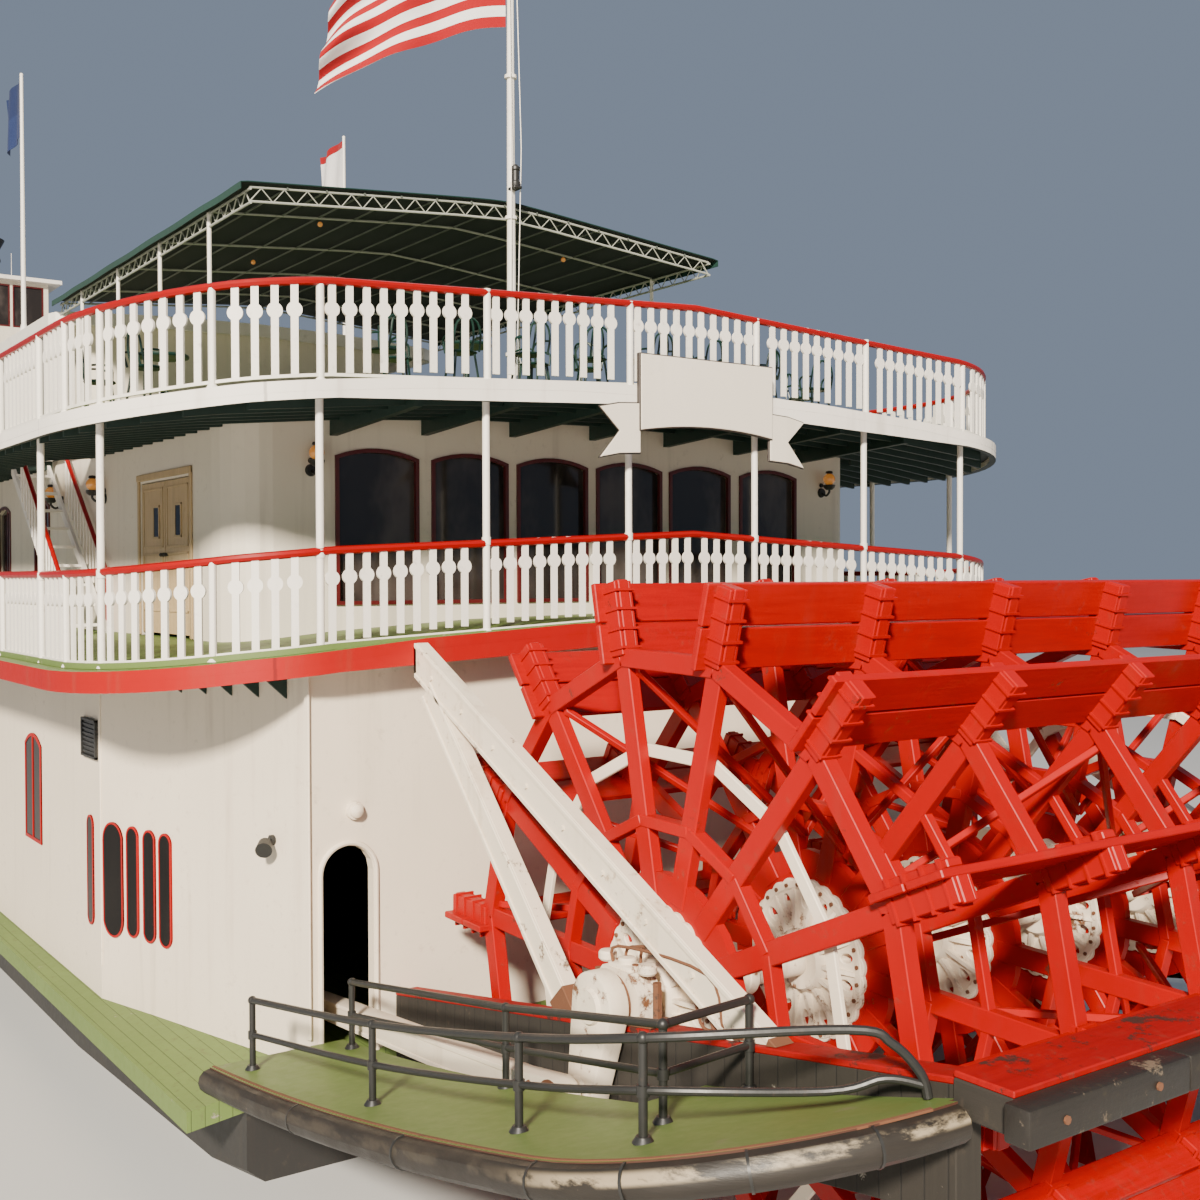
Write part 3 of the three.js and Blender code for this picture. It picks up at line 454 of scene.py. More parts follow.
def sliced(obj, ys=(), xs=()):
    """Cuts a piece along planes of y and x, so that it can follow a curve."""
    edit(obj)
    for value, normal in [(y, (0, 1, 0)) for y in ys] + [(x, (1, 0, 0)) for x in xs]:
        spot = place((value, 0, 0)) if normal[0] else place((0, value, 0))
        bpy.ops.mesh.select_all(action="SELECT")
        bpy.ops.mesh.bisect(plane_co=spot, plane_no=normal)
    leave()
    return obj


# Finishes

class Finish:
    """A material's nodes, added one after another."""

    def __init__(self, name):
        self.material = bpy.data.materials.new(name)
        self.material.use_nodes = True
        self.tree = self.material.node_tree
        self.shader = self.tree.nodes["Principled BSDF"]
        self.object_place = self.add("TexCoord").outputs["Object"]

    def add(self, kind, settings=None, **inputs):
        node = self.tree.nodes.new(f"ShaderNode{kind}")
        for name, value in (settings or {}).items():
            setattr(node, name, value)
        for name, value in inputs.items():
            slot = int(name[1:]) if name[0] == "_" else name.replace("_", " ")
            self.feed(node.inputs[slot], value)
        return node

    def feed(self, socket, value):
        if isinstance(value, bpy.types.NodeSocket):
            self.tree.links.new(value, socket)
        else:
            socket.default_value = value

    def math(self, operation, a, b=0.0):
        return self.add("Math", {"operation": operation}, _0=a, _1=b).outputs[0]

    def times(self, a, b):
        return self.math("MULTIPLY", a, b)

    def rest(self, value):
        """What is left of 1."""
        return self.math("SUBTRACT", 1.0, value)

    def up(self):
        """How far a face looks upwards, from -1 to 1."""
        facing = self.add("NewGeometry").outputs["Normal"]
        return self.add("SeparateXYZ", Vector=facing).outputs[2]

    def rough(self, value, low, high):
        return self.add("MapRange", Value=value, To_Min=low, To_Max=high).outputs[0]

    def weave(self, along, threads, across, others):
        """The crossing threads of a cloth."""
        warp = self.math("SINE", self.times(along, threads))
        return self.times(warp, self.math("SINE", self.times(across, others)))

    def stretched(self, scale):
        return self.add("Mapping", Vector=self.object_place, Scale=scale).outputs[0]

    def noise(self, scale, stretch=(1, 1, 1), detail=4.0, roughness=0.55):
        return self.add("TexNoise", Vector=self.stretched(stretch), Scale=scale, Detail=detail,
                        Roughness=roughness).outputs[0]

    def between(self, value, low, high):
        """0 below low, 1 above high."""
        return self.add("MapRange", {"interpolation_type": "SMOOTHSTEP"}, Value=value, From_Min=low,
                        From_Max=high).outputs[0]

    def mixed(self, factor, a, b, blend="MIX"):
        node = self.add("Mix", {"data_type": "RGBA", "blend_type": blend})
        self.feed(node.inputs[0], factor)
        self.feed(node.inputs[6], a)
        self.feed(node.inputs[7], b)
        return node.outputs[2]

    def split(self):
        return self.add("SeparateXYZ", Vector=self.object_place).outputs

    def raise_by(self, height, depth, strength=0.6):
        """A bump of so many millimetres, on top of any that is there."""
        node = self.add("Bump", Height=height, Distance=depth / 1000, Strength=strength)
        before = self.shader.inputs["Normal"].links
        if before:
            self.feed(node.inputs["Normal"], before[0].from_socket)
        self.feed(self.shader.inputs["Normal"], node.outputs[0])

    def done(self, colour, roughness, **more):
        self.feed(self.shader.inputs["Base Color"], colour)
        self.feed(self.shader.inputs["Roughness"], roughness)
        for name, value in more.items():
            self.feed(self.shader.inputs[name.replace("_", " ")], value)
        return self.material


def shade(colour, factor):
    return (*[min(1.0, channel * factor) for channel in colour[:3]], 1.0)


def paint(name, colour, roughness, blotch, dirt=0.0, dirt_colour=(0.1, 0.07, 0.045), streaks=0.0,
          wear=0.0, wear_colour=(0.12, 0.08, 0.05), grain=None, seams=None, brush=0.15, gloss=0.5):
    """Worn paint: uneven colour, dirt and its runs, worn spots, wood grain and seams between boards.

    grain is the axis that the wood runs along, and seams is (axis, spacing, width, depth) in
    millimetres. brush is the depth of the brush marks.
    """
    made = Finish(name)
    colour = (*colour[:3], 1.0)
    cloud = made.noise(6.0, detail=5.0)
    tone = made.mixed(cloud, shade(colour, 1 - blotch), shade(colour, 1 + blotch))
    fine = made.noise(90.0, detail=6.0, roughness=0.65)
    if grain is not None:
        stretch = [60.0, 60.0, 60.0]
        stretch[grain] = 4.0
        fibres = made.noise(3.0, tuple(stretch), detail=6.0, roughness=0.7)
        tone = made.mixed(made.between(fibres, 0.35, 0.75), tone, shade(colour, 0.82))
        made.raise_by(fibres, 0.5)
    if streaks:
        runs = made.noise(1.0, (38.0, 38.0, 2.2), detail=5.0, roughness=0.6)
        patch = made.noise(3.5, detail=3.0)
        mask = made.times(made.between(runs, 0.5, 0.78), made.between(patch, 0.35, 0.7))
        tone = made.mixed(made.times(mask, streaks), tone, (*dirt_colour, 1.0))
    if dirt:
        spots = made.times(made.between(fine, 0.55, 0.75), made.between(cloud, 0.4, 0.65))
        tone = made.mixed(made.times(spots, dirt), tone, (*dirt_colour, 1.0))
    if wear:
        flakes = made.noise(28.0, detail=8.0, roughness=0.75)
        chips = made.between(flakes, 0.72 - 0.25 * wear, 0.76 - 0.2 * wear)
        tone = made.mixed(chips, tone, (*wear_colour, 1.0))
        made.raise_by(made.rest(chips), 0.4)
    if seams:
        axis, spacing, width, depth = seams
        phase = made.math("PINGPONG", made.split()[axis], spacing / 2000)
        line = made.rest(made.between(phase, width / 4000, width / 2000))
        tone = made.mixed(made.times(line, 0.75), tone, shade(colour, 0.3))
        made.raise_by(made.rest(line), depth)
    made.raise_by(made.noise(220.0, detail=3.0), brush)
    rough = made.rough(fine, max(0.05, roughness - 0.12), min(1.0, roughness + 0.14))
    return made.done(tone, rough, Specular_IOR_Level=gloss)


FINISHES = {}


def finish(name):
    """The finish of that name, made when it is first asked for."""
    if name not in FINISHES:
        FINISHES[name] = MAKERS[name](bpy.context.scene.steamer_colours)
    return FINISHES[name]


def glass(name, colour, curtain_and_reflection, gloss=0.5):
    """Dark panes with lighter blotches, so much brighter: partly dim shapes behind them, partly painted
    reflections.
    """
    made = Finish(name)
    # lighter blotches: dim shapes behind the pane and painted reflections
    depth = made.noise(9.0, (1, 1, 0.6), detail=4.0)
    tone = made.mixed(made.between(depth, 0.42, 0.68), (*colour, 1.0), shade(colour, curtain_and_reflection))
    made.raise_by(made.noise(4.0, detail=1.0), 0.3, 0.2)
    return made.done(tone, 0.07, Specular_IOR_Level=gloss)


def fender_wood():
    """Wet dark logs, rubbed down to pale wood along their outer side, most of all far aft."""
    made = Finish("fender_wood")
    x, y, z = made.split()
    wet, damp, middling = (0.006, 0.005, 0.004, 1.0), (0.03, 0.023, 0.016, 1.0), (0.014, 0.011, 0.008, 1.0)
    bare, chipped = (0.36, 0.29, 0.19, 1.0), (0.2, 0.16, 0.11, 1.0)
    back = made.math("ADD", made.times(x, -1000.0), FAN["root"] + SHIP_SHIFT)
    rise = made.times(back, made.math("ADD", made.times(back, FAN["curve"]), FAN["slope"]))
    above = made.math("SUBTRACT", made.times(z, 1000.0), made.math("ADD", rise, MAIN_Z - FENDER_DROP))
    fibres = made.noise(3.0, (9.0, 9.0, 70.0), detail=6.0, roughness=0.7)
    tone = made.mixed(made.noise(16.0, detail=6.0), wet, damp)
    tone = made.mixed(made.between(fibres, 0.4, 0.75), tone, middling)
    off_band = made.math("ABSOLUTE", made.math("SUBTRACT", above, 5.0))
    band = made.rest(made.between(off_band, 2.0, 6.0))
    far_aft = made.math("ADD", 0.07, made.times(made.between(back, 600.0, 690.0), 0.8))
    patch = made.between(made.noise(13.0, (1, 1, 3), detail=8.0, roughness=0.7), 0.44, 0.56)
    tone = made.mixed(made.times(made.times(band, patch), far_aft), tone, bare)
    chips = made.between(made.noise(40.0, detail=8.0, roughness=0.75), 0.66, 0.7)
    tone = made.mixed(made.times(chips, 0.6), tone, chipped)
    made.raise_by(fibres, 0.8)
    return made.done(tone, made.rough(made.noise(30.0), 0.28, 0.75))


def lamp_glass(colours):
    """The amber globe of a lamp, faintly lit."""
    made = Finish("lamp_globe")
    swirl = made.noise(60.0, detail=2.0)
    tone = made.mixed(swirl, (0.5, 0.15, 0.02, 1.0), (0.75, 0.34, 0.08, 1.0))
    made.feed(made.shader.inputs["Emission Color"], tone)
    return made.done(tone, 0.12, Emission_Strength=0.35, Coat_Weight=0.5)


def deck_paint(name, top, side, planked=True):
    """The paint of a deck: its top, its side, and underneath a dark green."""
    made = Finish(name)
    dirt, scuffed, below = (0.16, 0.1, 0.06, 1.0), (0.2, 0.18, 0.13, 1.0), (0.006, 0.022, 0.017, 1.0)
    panel, plank = 0.1525, 0.0075
    up = made.up()
    under, over = made.between(made.times(up, -1.0), 0.4, 0.6), made.between(up, 0.4, 0.6)
    cloud = made.noise(7.0, detail=5.0)
    along, across, height = made.split()
    joint = made.rest(made.between(made.math("PINGPONG", along, panel), 0.0004, 0.0011))
    face = made.mixed(cloud, shade(side, 0.9), shade(side, 1.06))
    face = made.mixed(made.times(joint, 0.6), face, shade(side, 0.35))
    runs = made.between(made.noise(1.0, (30.0, 30.0, 3.0), detail=5.0), 0.52, 0.8)
    face = made.mixed(made.times(runs, 0.3), face, dirt)
    boards = made.mixed(cloud, shade(top, 0.75), shade(top, 1.15))
    if planked:
        line = made.rest(made.between(made.math("PINGPONG", across, plank), 0.0004, 0.0009))
        boards = made.mixed(made.times(line, 0.5), boards, shade(top, 0.4))
    scuffs = made.between(made.noise(22.0, detail=8.0, roughness=0.75), 0.6, 0.68)
    boards = made.mixed(made.times(scuffs, 0.45), boards, scuffed)
    tone = made.mixed(under, made.mixed(over, face, boards), below)
    made.raise_by(made.noise(150.0, detail=4.0), 0.2)
    rough = made.rough(made.noise(80.0, detail=6.0, roughness=0.65), 0.38, 0.68)
    return made.done(tone, rough, Specular_IOR_Level=0.3)


def stripes(name, colour_a, colour_b, count, phase=0.0, band=None):
    """Flag cloth with stripes across its own UV map, its weave and its threads."""
    made = Finish(name)
    uv = made.add("UVMap", {"uv_map": "UVMap"}).outputs[0]
    along, up = made.add("SeparateXYZ", Vector=uv).outputs[:2]
    if band is None:
        wave = made.math("FRACT", made.math("ADD", made.times(up, count / 2), phase))
        factor = made.math("GREATER_THAN", wave, 0.5)
    else:
        factor = made.math("GREATER_THAN", up, band)
    tone = made.mixed(factor, (*colour_a, 1.0), (*colour_b, 1.0))
    shadow = made.times(made.noise(30.0), 0.25)
    tone = made.mixed(shadow, tone, shade(colour_a, 0.6), "MULTIPLY")
    made.raise_by(made.weave(along, 2400.0, up, 1500.0), 0.15, 0.4)
    return made.done(tone, 0.82, Sheen_Weight=0.08, Sheen_Roughness=0.5, Specular_IOR_Level=0.2)


def canvas_cloth(colours):
    """Green canvas with a seam from one width to the next, and painted shade underneath: faces that look
    downwards turn nearly black.
    """
    made = Finish("canopy_canvas")
    along, across = made.split()[:2]
    # below is the colour of the painted shade on the cloth's underside
    width, threads, below = 0.076, 5200.0, (0.002, 0.006, 0.005, 1.0)
    cloud = made.noise(5.0, detail=5.0)
    seam = made.rest(made.between(made.math("PINGPONG", along, width), 0.0006, 0.0014))
    tone = made.mixed(cloud, shade(colours.canopy, 0.7), shade(colours.canopy, 1.35))
    tone = made.mixed(made.times(seam, 0.5), tone, shade(colours.canopy, 0.4))
    # painted shade: faces that look downwards are mixed most of the way to nearly black
    under = made.between(made.times(made.up(), -1.0), 0.2, 0.5)
    tone = made.mixed(made.times(under, 0.82), tone, below)
    made.raise_by(made.weave(along, threads, across, threads), 0.12, 0.4)
    made.raise_by(seam, 0.5)
    return made.done(tone, 0.85, Sheen_Weight=0.05, Sheen_Roughness=0.6, Specular_IOR_Level=0.15)


# A paint's first values are its colour, roughness and blotch
MAKERS = {
    "red": lambda c: paint("red_paint", c.red, 0.4, 0.16, dirt=0.4, streaks=0.3, wear=0.3, grain=1,
                           wear_colour=(0.14, 0.03, 0.02), gloss=0.22),
    "red_arm": lambda c: paint("red_arm_paint", c.red, 0.4, 0.16, dirt=0.45, streaks=0.25, wear=0.35,
                               wear_colour=(0.12, 0.03, 0.02), gloss=0.22),
    "red_rail": lambda c: paint("red_rail_paint", c.rail_red, 0.32, 0.1, dirt=0.1, brush=0.05, gloss=0.25),
    "white": lambda c: paint("white_paint", c.white, 0.42, 0.05, dirt=0.35, streaks=0.2),
    "wall": lambda c: paint("cream_wall_paint", c.cream, 0.6, 0.09, dirt=0.3, streaks=0.42,
                            dirt_colour=(0.22, 0.15, 0.09)),
    "house": lambda c: paint("white_wall_paint", c.wall, 0.55, 0.08, dirt=0.25, streaks=0.3,
                             dirt_colour=(0.2, 0.16, 0.12)),
    "cast": lambda c: paint("white_casting_paint", c.cream, 0.5, 0.12, dirt=0.95, streaks=0.75, wear=0.6,
                            dirt_colour=(0.26, 0.12, 0.045), wear_colour=(0.17, 0.07, 0.03), brush=0.4),
    "brace": lambda c: paint("brace_paint", c.cream, 0.5, 0.1, dirt=0.8, streaks=0.6, wear=0.45,
                             dirt_colour=(0.3, 0.17, 0.08), wear_colour=(0.16, 0.1, 0.06)),
    "deck_green": lambda c: paint("green_deck_paint", c.deck_green, 0.6, 0.2, dirt=0.6, wear=0.35,
                                  wear_colour=(0.3, 0.27, 0.2), seams=(1, 15, 1.2, 0.3)),
    "fan_green": lambda c: paint("fantail_green_paint", c.deck_green, 0.55, 0.2, dirt=0.7, wear=0.45,
                                 wear_colour=(0.34, 0.3, 0.22)),
    "timber": lambda c: paint("weathered_timber", c.timber, 0.8, 0.35, dirt=0.5, wear=0.4, grain=0,
                              wear_colour=(0.3, 0.25, 0.19)),
    "boards": lambda c: paint("weathered_boards", c.timber, 0.85, 0.4, dirt=0.5, wear=0.3, grain=2,
                              wear_colour=(0.3, 0.27, 0.22), seams=(0, 21, 2.0, 1.0)),
    "black": lambda c: paint("black_metal_paint", (0.018, 0.018, 0.017), 0.42, 0.3, dirt=0.4,
                             dirt_colour=(0.09, 0.05, 0.03), wear=0.2, wear_colour=(0.1, 0.05, 0.03)),
    "hull": lambda c: paint("hull_paint", (0.02, 0.019, 0.018), 0.55, 0.3, dirt=0.6, streaks=0.5,
                            dirt_colour=(0.08, 0.06, 0.04), seams=(0, 240, 1.5, 0.4)),
    "maroon": lambda c: paint("maroon_frame_paint", c.maroon, 0.35, 0.12, dirt=0.2),
    "beam_green": lambda c: paint("beam_green_paint", (0.008, 0.028, 0.021), 0.55, 0.2, dirt=0.3),
    "door": lambda c: paint("door_paint", c.door, 0.5, 0.1, dirt=0.3, streaks=0.3, grain=2,
                            dirt_colour=(0.25, 0.15, 0.07)),
    "rust": lambda c: paint("rusty_iron", (0.14, 0.055, 0.025), 0.85, 0.45, dirt=0.6, wear=0.4,
                            wear_colour=(0.05, 0.03, 0.02), brush=0.6),
    # the number after a glass's colour brightens its blotches: shapes behind the panes and painted
    # reflections
    "glass": lambda c: glass("window_glass", c.glass, 4.0),
    "dark_glass": lambda c: glass("engine_room_glass", shade(c.glass, 0.2)[:3], 2.0, 0.12),
    # the awning's trusses: their grey is painted shade on a frame that is white like its posts
    "painted_shade_truss": lambda c: paint("awning_truss_painted_shade", (0.36, 0.37, 0.32), 0.5, 0.12, dirt=0.4),
    "chair": lambda c: paint("chair_paint", (0.005, 0.026, 0.018), 0.4, 0.2, dirt=0.3),
    "globe": lamp_glass,
    "boiler_deck": lambda c: deck_paint("boiler_deck_paint", c.deck_green, c.red),
    "hurricane_deck": lambda c: deck_paint("hurricane_deck_paint", c.deck_green, c.white),
    "platform": lambda c: deck_paint("fantail_platform_paint", c.deck_green, (0.07, 0.03, 0.02), False),
    "fender": lambda c: fender_wood(),
    "wet_timber": lambda c: paint("stern_beam_timber", (0.016, 0.013, 0.01), 0.5, 0.4, dirt=0.6,
                                  wear=0.62, grain=1, dirt_colour=(0.05, 0.04, 0.02),
                                  wear_colour=(0.16, 0.12, 0.08), brush=0.5),
    "red_plank": lambda c: paint("red_plank_paint", shade(c.red, 0.85), 0.6, 0.25, dirt=0.9,
                                 wear=0.75, grain=1, wear_colour=(0.05, 0.02, 0.015), gloss=0.25),
    "dark_edge": lambda c: paint("dark_edge_paint", (0.05, 0.04, 0.035), 0.5, 0.2),
    "board": lambda c: paint("nameboard_paint", c.board, 0.4, 0.04, dirt=0.15, streaks=0.1),
    "grey": lambda c: paint("grey_purlin_paint", (0.1, 0.115, 0.1), 0.5, 0.15, dirt=0.3),
    "canvas": canvas_cloth,
    "flag": lambda c: stripes("striped_flag_cloth", c.flag_white, c.flag_red, 13, 0.5),
    "navy": lambda c: stripes("navy_flag_cloth", c.navy, shade(c.navy, 0.8)[:3], 2),
    "pale_flag": lambda c: stripes("pale_flag_cloth", c.flag_white, c.flag_red, 0, 0.0, band=0.86),
}

NODE_FINISHES = {
    "hull": "hull", "main_deck": "deck_green", "main_house": "wall", "boilers": "black",
    "boiler_house": "house", "texas_house": "house", "texas_roof": "white", "pilothouse": "house",
    "pilothouse_roof": "white", "jackstaff": "white", "capstan": "black", "wheel_shaft": "cast",
    "paddle_wheel": "red", "boiler_deck": "boiler_deck", "hurricane_deck": "hurricane_deck",
    "stern_staff": "white", "nameboard": "white", "awning_frame": "white", "awning_cover": "canvas",
    "boiler_rail": "white", "hurricane_rail": "white", "stern_beam": "timber", "stern_flag": "flag",
    "roof_flag_port": "navy", "roof_flag_starboard": "pale_flag",
}
PAIR_FINISHES = {
    "engine_{}": "black", "stack_{}": "black", "rudder_{}": "hull", "stage_mast_{}": "white",
    "landing_stage_{}": "white", "stair_{}": "white", "door_{}_aft": "door", "door_{}_fore": "door",
    "bearing_{}": "cast", "fantail_brace_{}": "cast", "pitman_{}": "cast", "roof_staff_{}": "white",
    "fantail_{}": "timber", "edge_rail_{}": "black", "pit_rail_{}": "black",
}


# Settings

class SteamerSizes(bpy.types.PropertyGroup):
    """Sizes of the ship's repeated pieces, in millimetres of the model."""

    baluster_spacing: FloatProperty(name="Baluster spacing", description="From one baluster to the next",
                                    default=20.7, min=10)
    baluster_width: FloatProperty(name="Baluster width", description="Breadth of a baluster's flat board",
                                  default=8.0, min=2)
    baluster_disc: FloatProperty(name="Baluster disc", description="Breadth of the disc on a baluster",
                                 default=16.8, min=4)
    rail_radius: FloatProperty(name="Rail radius", description="Radius of the red hand rails",
                               default=4.6, min=1)
    window_frame: FloatProperty(name="Window frame", description="Breadth of a window frame",
                                default=5.0, min=1)
    joist_spacing: FloatProperty(name="Joist spacing", description="From one deck joist to the next",
                                 default=45.0, min=20)
    arm_width: FloatProperty(name="Arm width", description="Breadth of a wheel arm", default=20.5, min=4)
    arms: IntProperty(name="Wheel arms", description="Number of arms in each frame of the wheel", default=14,
                      min=6)


class SteamerColours(bpy.types.PropertyGroup):
    """Paint and cloth colours of the ship."""

    def tint(name, description, value):
        return FloatVectorProperty(name=name, description=description, subtype="COLOR", min=0, max=1,
                                   default=value)

    red: tint("Signal red", "Paint of the wheel and of the boiler deck's edge", (0.34, 0.0008, 0.0005))
    rail_red: tint("Rail red", "Paint of the hand rails", (0.27, 0.0008, 0.001))
    white: tint("White", "Paint of rails, posts and the upper deck", (0.84, 0.79, 0.71))
    cream: tint("Cream", "Paint of the main house", (0.76, 0.66, 0.52))
    wall: tint("Wall white", "Paint of the upper houses", (0.74, 0.67, 0.55))
    board: tint("Board", "Paint of the nameboard", (0.76, 0.69, 0.58))
    deck_green: tint("Deck green", "Paint of the decks", (0.125, 0.185, 0.045))
    canopy: tint("Canopy green", "Cloth of the awning", (0.006, 0.036, 0.027))
    maroon: tint("Maroon", "Paint of the window frames", (0.09, 0.008, 0.008))
    door: tint("Door beige", "Paint of the doors", (0.5, 0.36, 0.19))
    timber: tint("Timber", "Weathered wood of the fantail", (0.022, 0.018, 0.013))
    glass: tint("Glass", "Panes of the windows", (0.02, 0.016, 0.014))
    flag_red: tint("Flag red", "Red cloth", (0.33, 0.004, 0.008))
    flag_white: tint("Flag white", "White cloth", (0.8, 0.78, 0.76))
    navy: tint("Flag navy", "Blue cloth", (0.02, 0.035, 0.11))

    del tint


# Pieces

class STEAMER_OT_frame_finishes(bpy.types.Operator):
    """Gives each solid of the frame its paint"""

    bl_idname = "steamer.frame_finishes"
    bl_label = "Frame Finishes"

    def execute(self, context):
        for node, name in NODE_FINISHES.items():
            painted(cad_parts[node], finish(name))
        for node, name in PAIR_FINISHES.items():
            for side in SIDES:
                painted(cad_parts[node.format(side)], finish(name))
        return {"FINISHED"}


def rail_line(deck, inset, lift):
    """The middle of a rail round a deck, as [x, y, z] all the way round."""
    return [[x, y, deck["z"] - drop(y) + lift] for x, y in both_sides(deck_edge(deck, inset))]


RAIL_INSET, RAIL_TOP = 20, 109
STERN_POSTS = [(0, 105), (0, 312), (2, 520)]
SIDE_POST_FIRST, SIDE_POST_STEP, SIDE_POST_COUNT = 782, 415, 13
CORNER_POST, SHORT_POSTS = 13, (7, 16)  # places on the line of the deck's edge


def post_places(deck):
    """Where the tall posts of a deck's rail stand on the port side, and then the short ones."""
    line = deck_edge(deck, RAIL_INSET)
    stern = [(deck["aft"] + RAIL_INSET + more, y) for more, y in STERN_POSTS]
    side = [(SIDE_POST_FIRST + i * SIDE_POST_STEP, DECK_HALF - RAIL_INSET) for i in range(SIDE_POST_COUNT)]
    steps = (len(line) - 2) // 2
    fore = [tuple(line[1 + steps + steps // 2]), tuple(line[-2])]
    short = [tuple(line[n]) for n in SHORT_POSTS] + [
        (x + SIDE_POST_STEP / 2, y) for x, y in side[:-1]]
    return stern + [tuple(line[CORNER_POST])] + side + fore, short


def baluster(sizes):
    """One flat baluster with its disc, standing at the origin of the ship's measures."""
    half, disc = sizes.baluster_width / 2, sizes.baluster_disc / 2
    foot, middle, head = 8.0, 77.5, 106.0
    reach = math.acos(half / disc)
    bend = arc(disc, -reach, 2 * reach, 7, 0, middle)
    right = [(half, foot)] + bend + [(half, head)]
    outline = right + [(-u, z) for u, z in right[::-1]]
    return slab([[u, -1.6, z] for u, z in outline], (0, 3.2, 0))


class STEAMER_OT_railings(bpy.types.Operator):
    """Models the two deck rails: posts, balusters, red hand rail and bottom rail"""

    bl_idname = "steamer.railings"
    bl_label = "Railings"

    def execute(self, context):
        sizes = context.scene.steamer_sizes
        origin = place((0, 0, 0))
        lift, clear_of_post = 0.3, 9
        rails = (("boiler_rail", BOILER_DECK, HURRICANE_Z - BOILER_Z - DECK_THICK - lift),
                 ("hurricane_rail", HURRICANE_DECK, RAIL_TOP - 2))
        for name, deck, post_top in rails:
            hand_rail = rail_line(deck, RAIL_INSET, RAIL_TOP - 1)
            parts = [coat("red_rail", pipe(hand_rail, sizes.rail_radius, 2, closed=True)),
                     coat("white", ribbon(rail_line(deck, RAIL_INSET, 5), 3.5, 3.5))]
            if name == "boiler_rail":
                kerb = ribbon(rail_line(deck, RAIL_INSET - 3.5, 0.2), 3, 6.5)
                parts.append(coat("fan_green", kerb))
            tall, short = post_places(deck)
            model = [upright(0, 0, lift, post_top, 4.4, 14), upright(0, 0, lift, 3, 6.2, 14, 5.2)]
            if post_top > RAIL_TOP:
                model.append(upright(0, 0, RAIL_TOP - 8, RAIL_TOP + 1, 5.4, 14))
            model = joined(model)
            low_model = joined([upright(0, 0, lift, RAIL_TOP - 2, 4.2, 12),
                                upright(0, 0, lift, 4, 7.0, 12, 5.0)])
            for post, places in ((model, tall), (low_model, short)):
                all_round = places + [(x, -y) for x, y in places]
                spots = [shift(x, y, deck["z"] - drop(y)) for x, y in all_round]
                parts.append(coat("white", *copies(post, spots)))
            stick = coat("white", baluster(sizes))
            stick.data.transform(Matrix.Translation(-origin))
            line = both_sides(deck_edge(deck, RAIL_INSET))
            spacing = sizes.baluster_spacing
            spots = []
            for x, y, heading in walk(line + line[:1], spacing, spacing / 2):
                near = min(math.hypot(x - px, abs(y) - py) for px, py in tall + short)
                if near > clear_of_post:
                    turn = Matrix.Rotation(heading, 4, "Z")
                    spots.append(Matrix.Translation(origin) @ (shift(x, y, deck["z"] - drop(y)) @ turn))
            parts += copies(stick, spots)
            keep(joined(parts), name + "_dressed", slot="white_metal", replaces=[name])
        return {"FINISHED"}


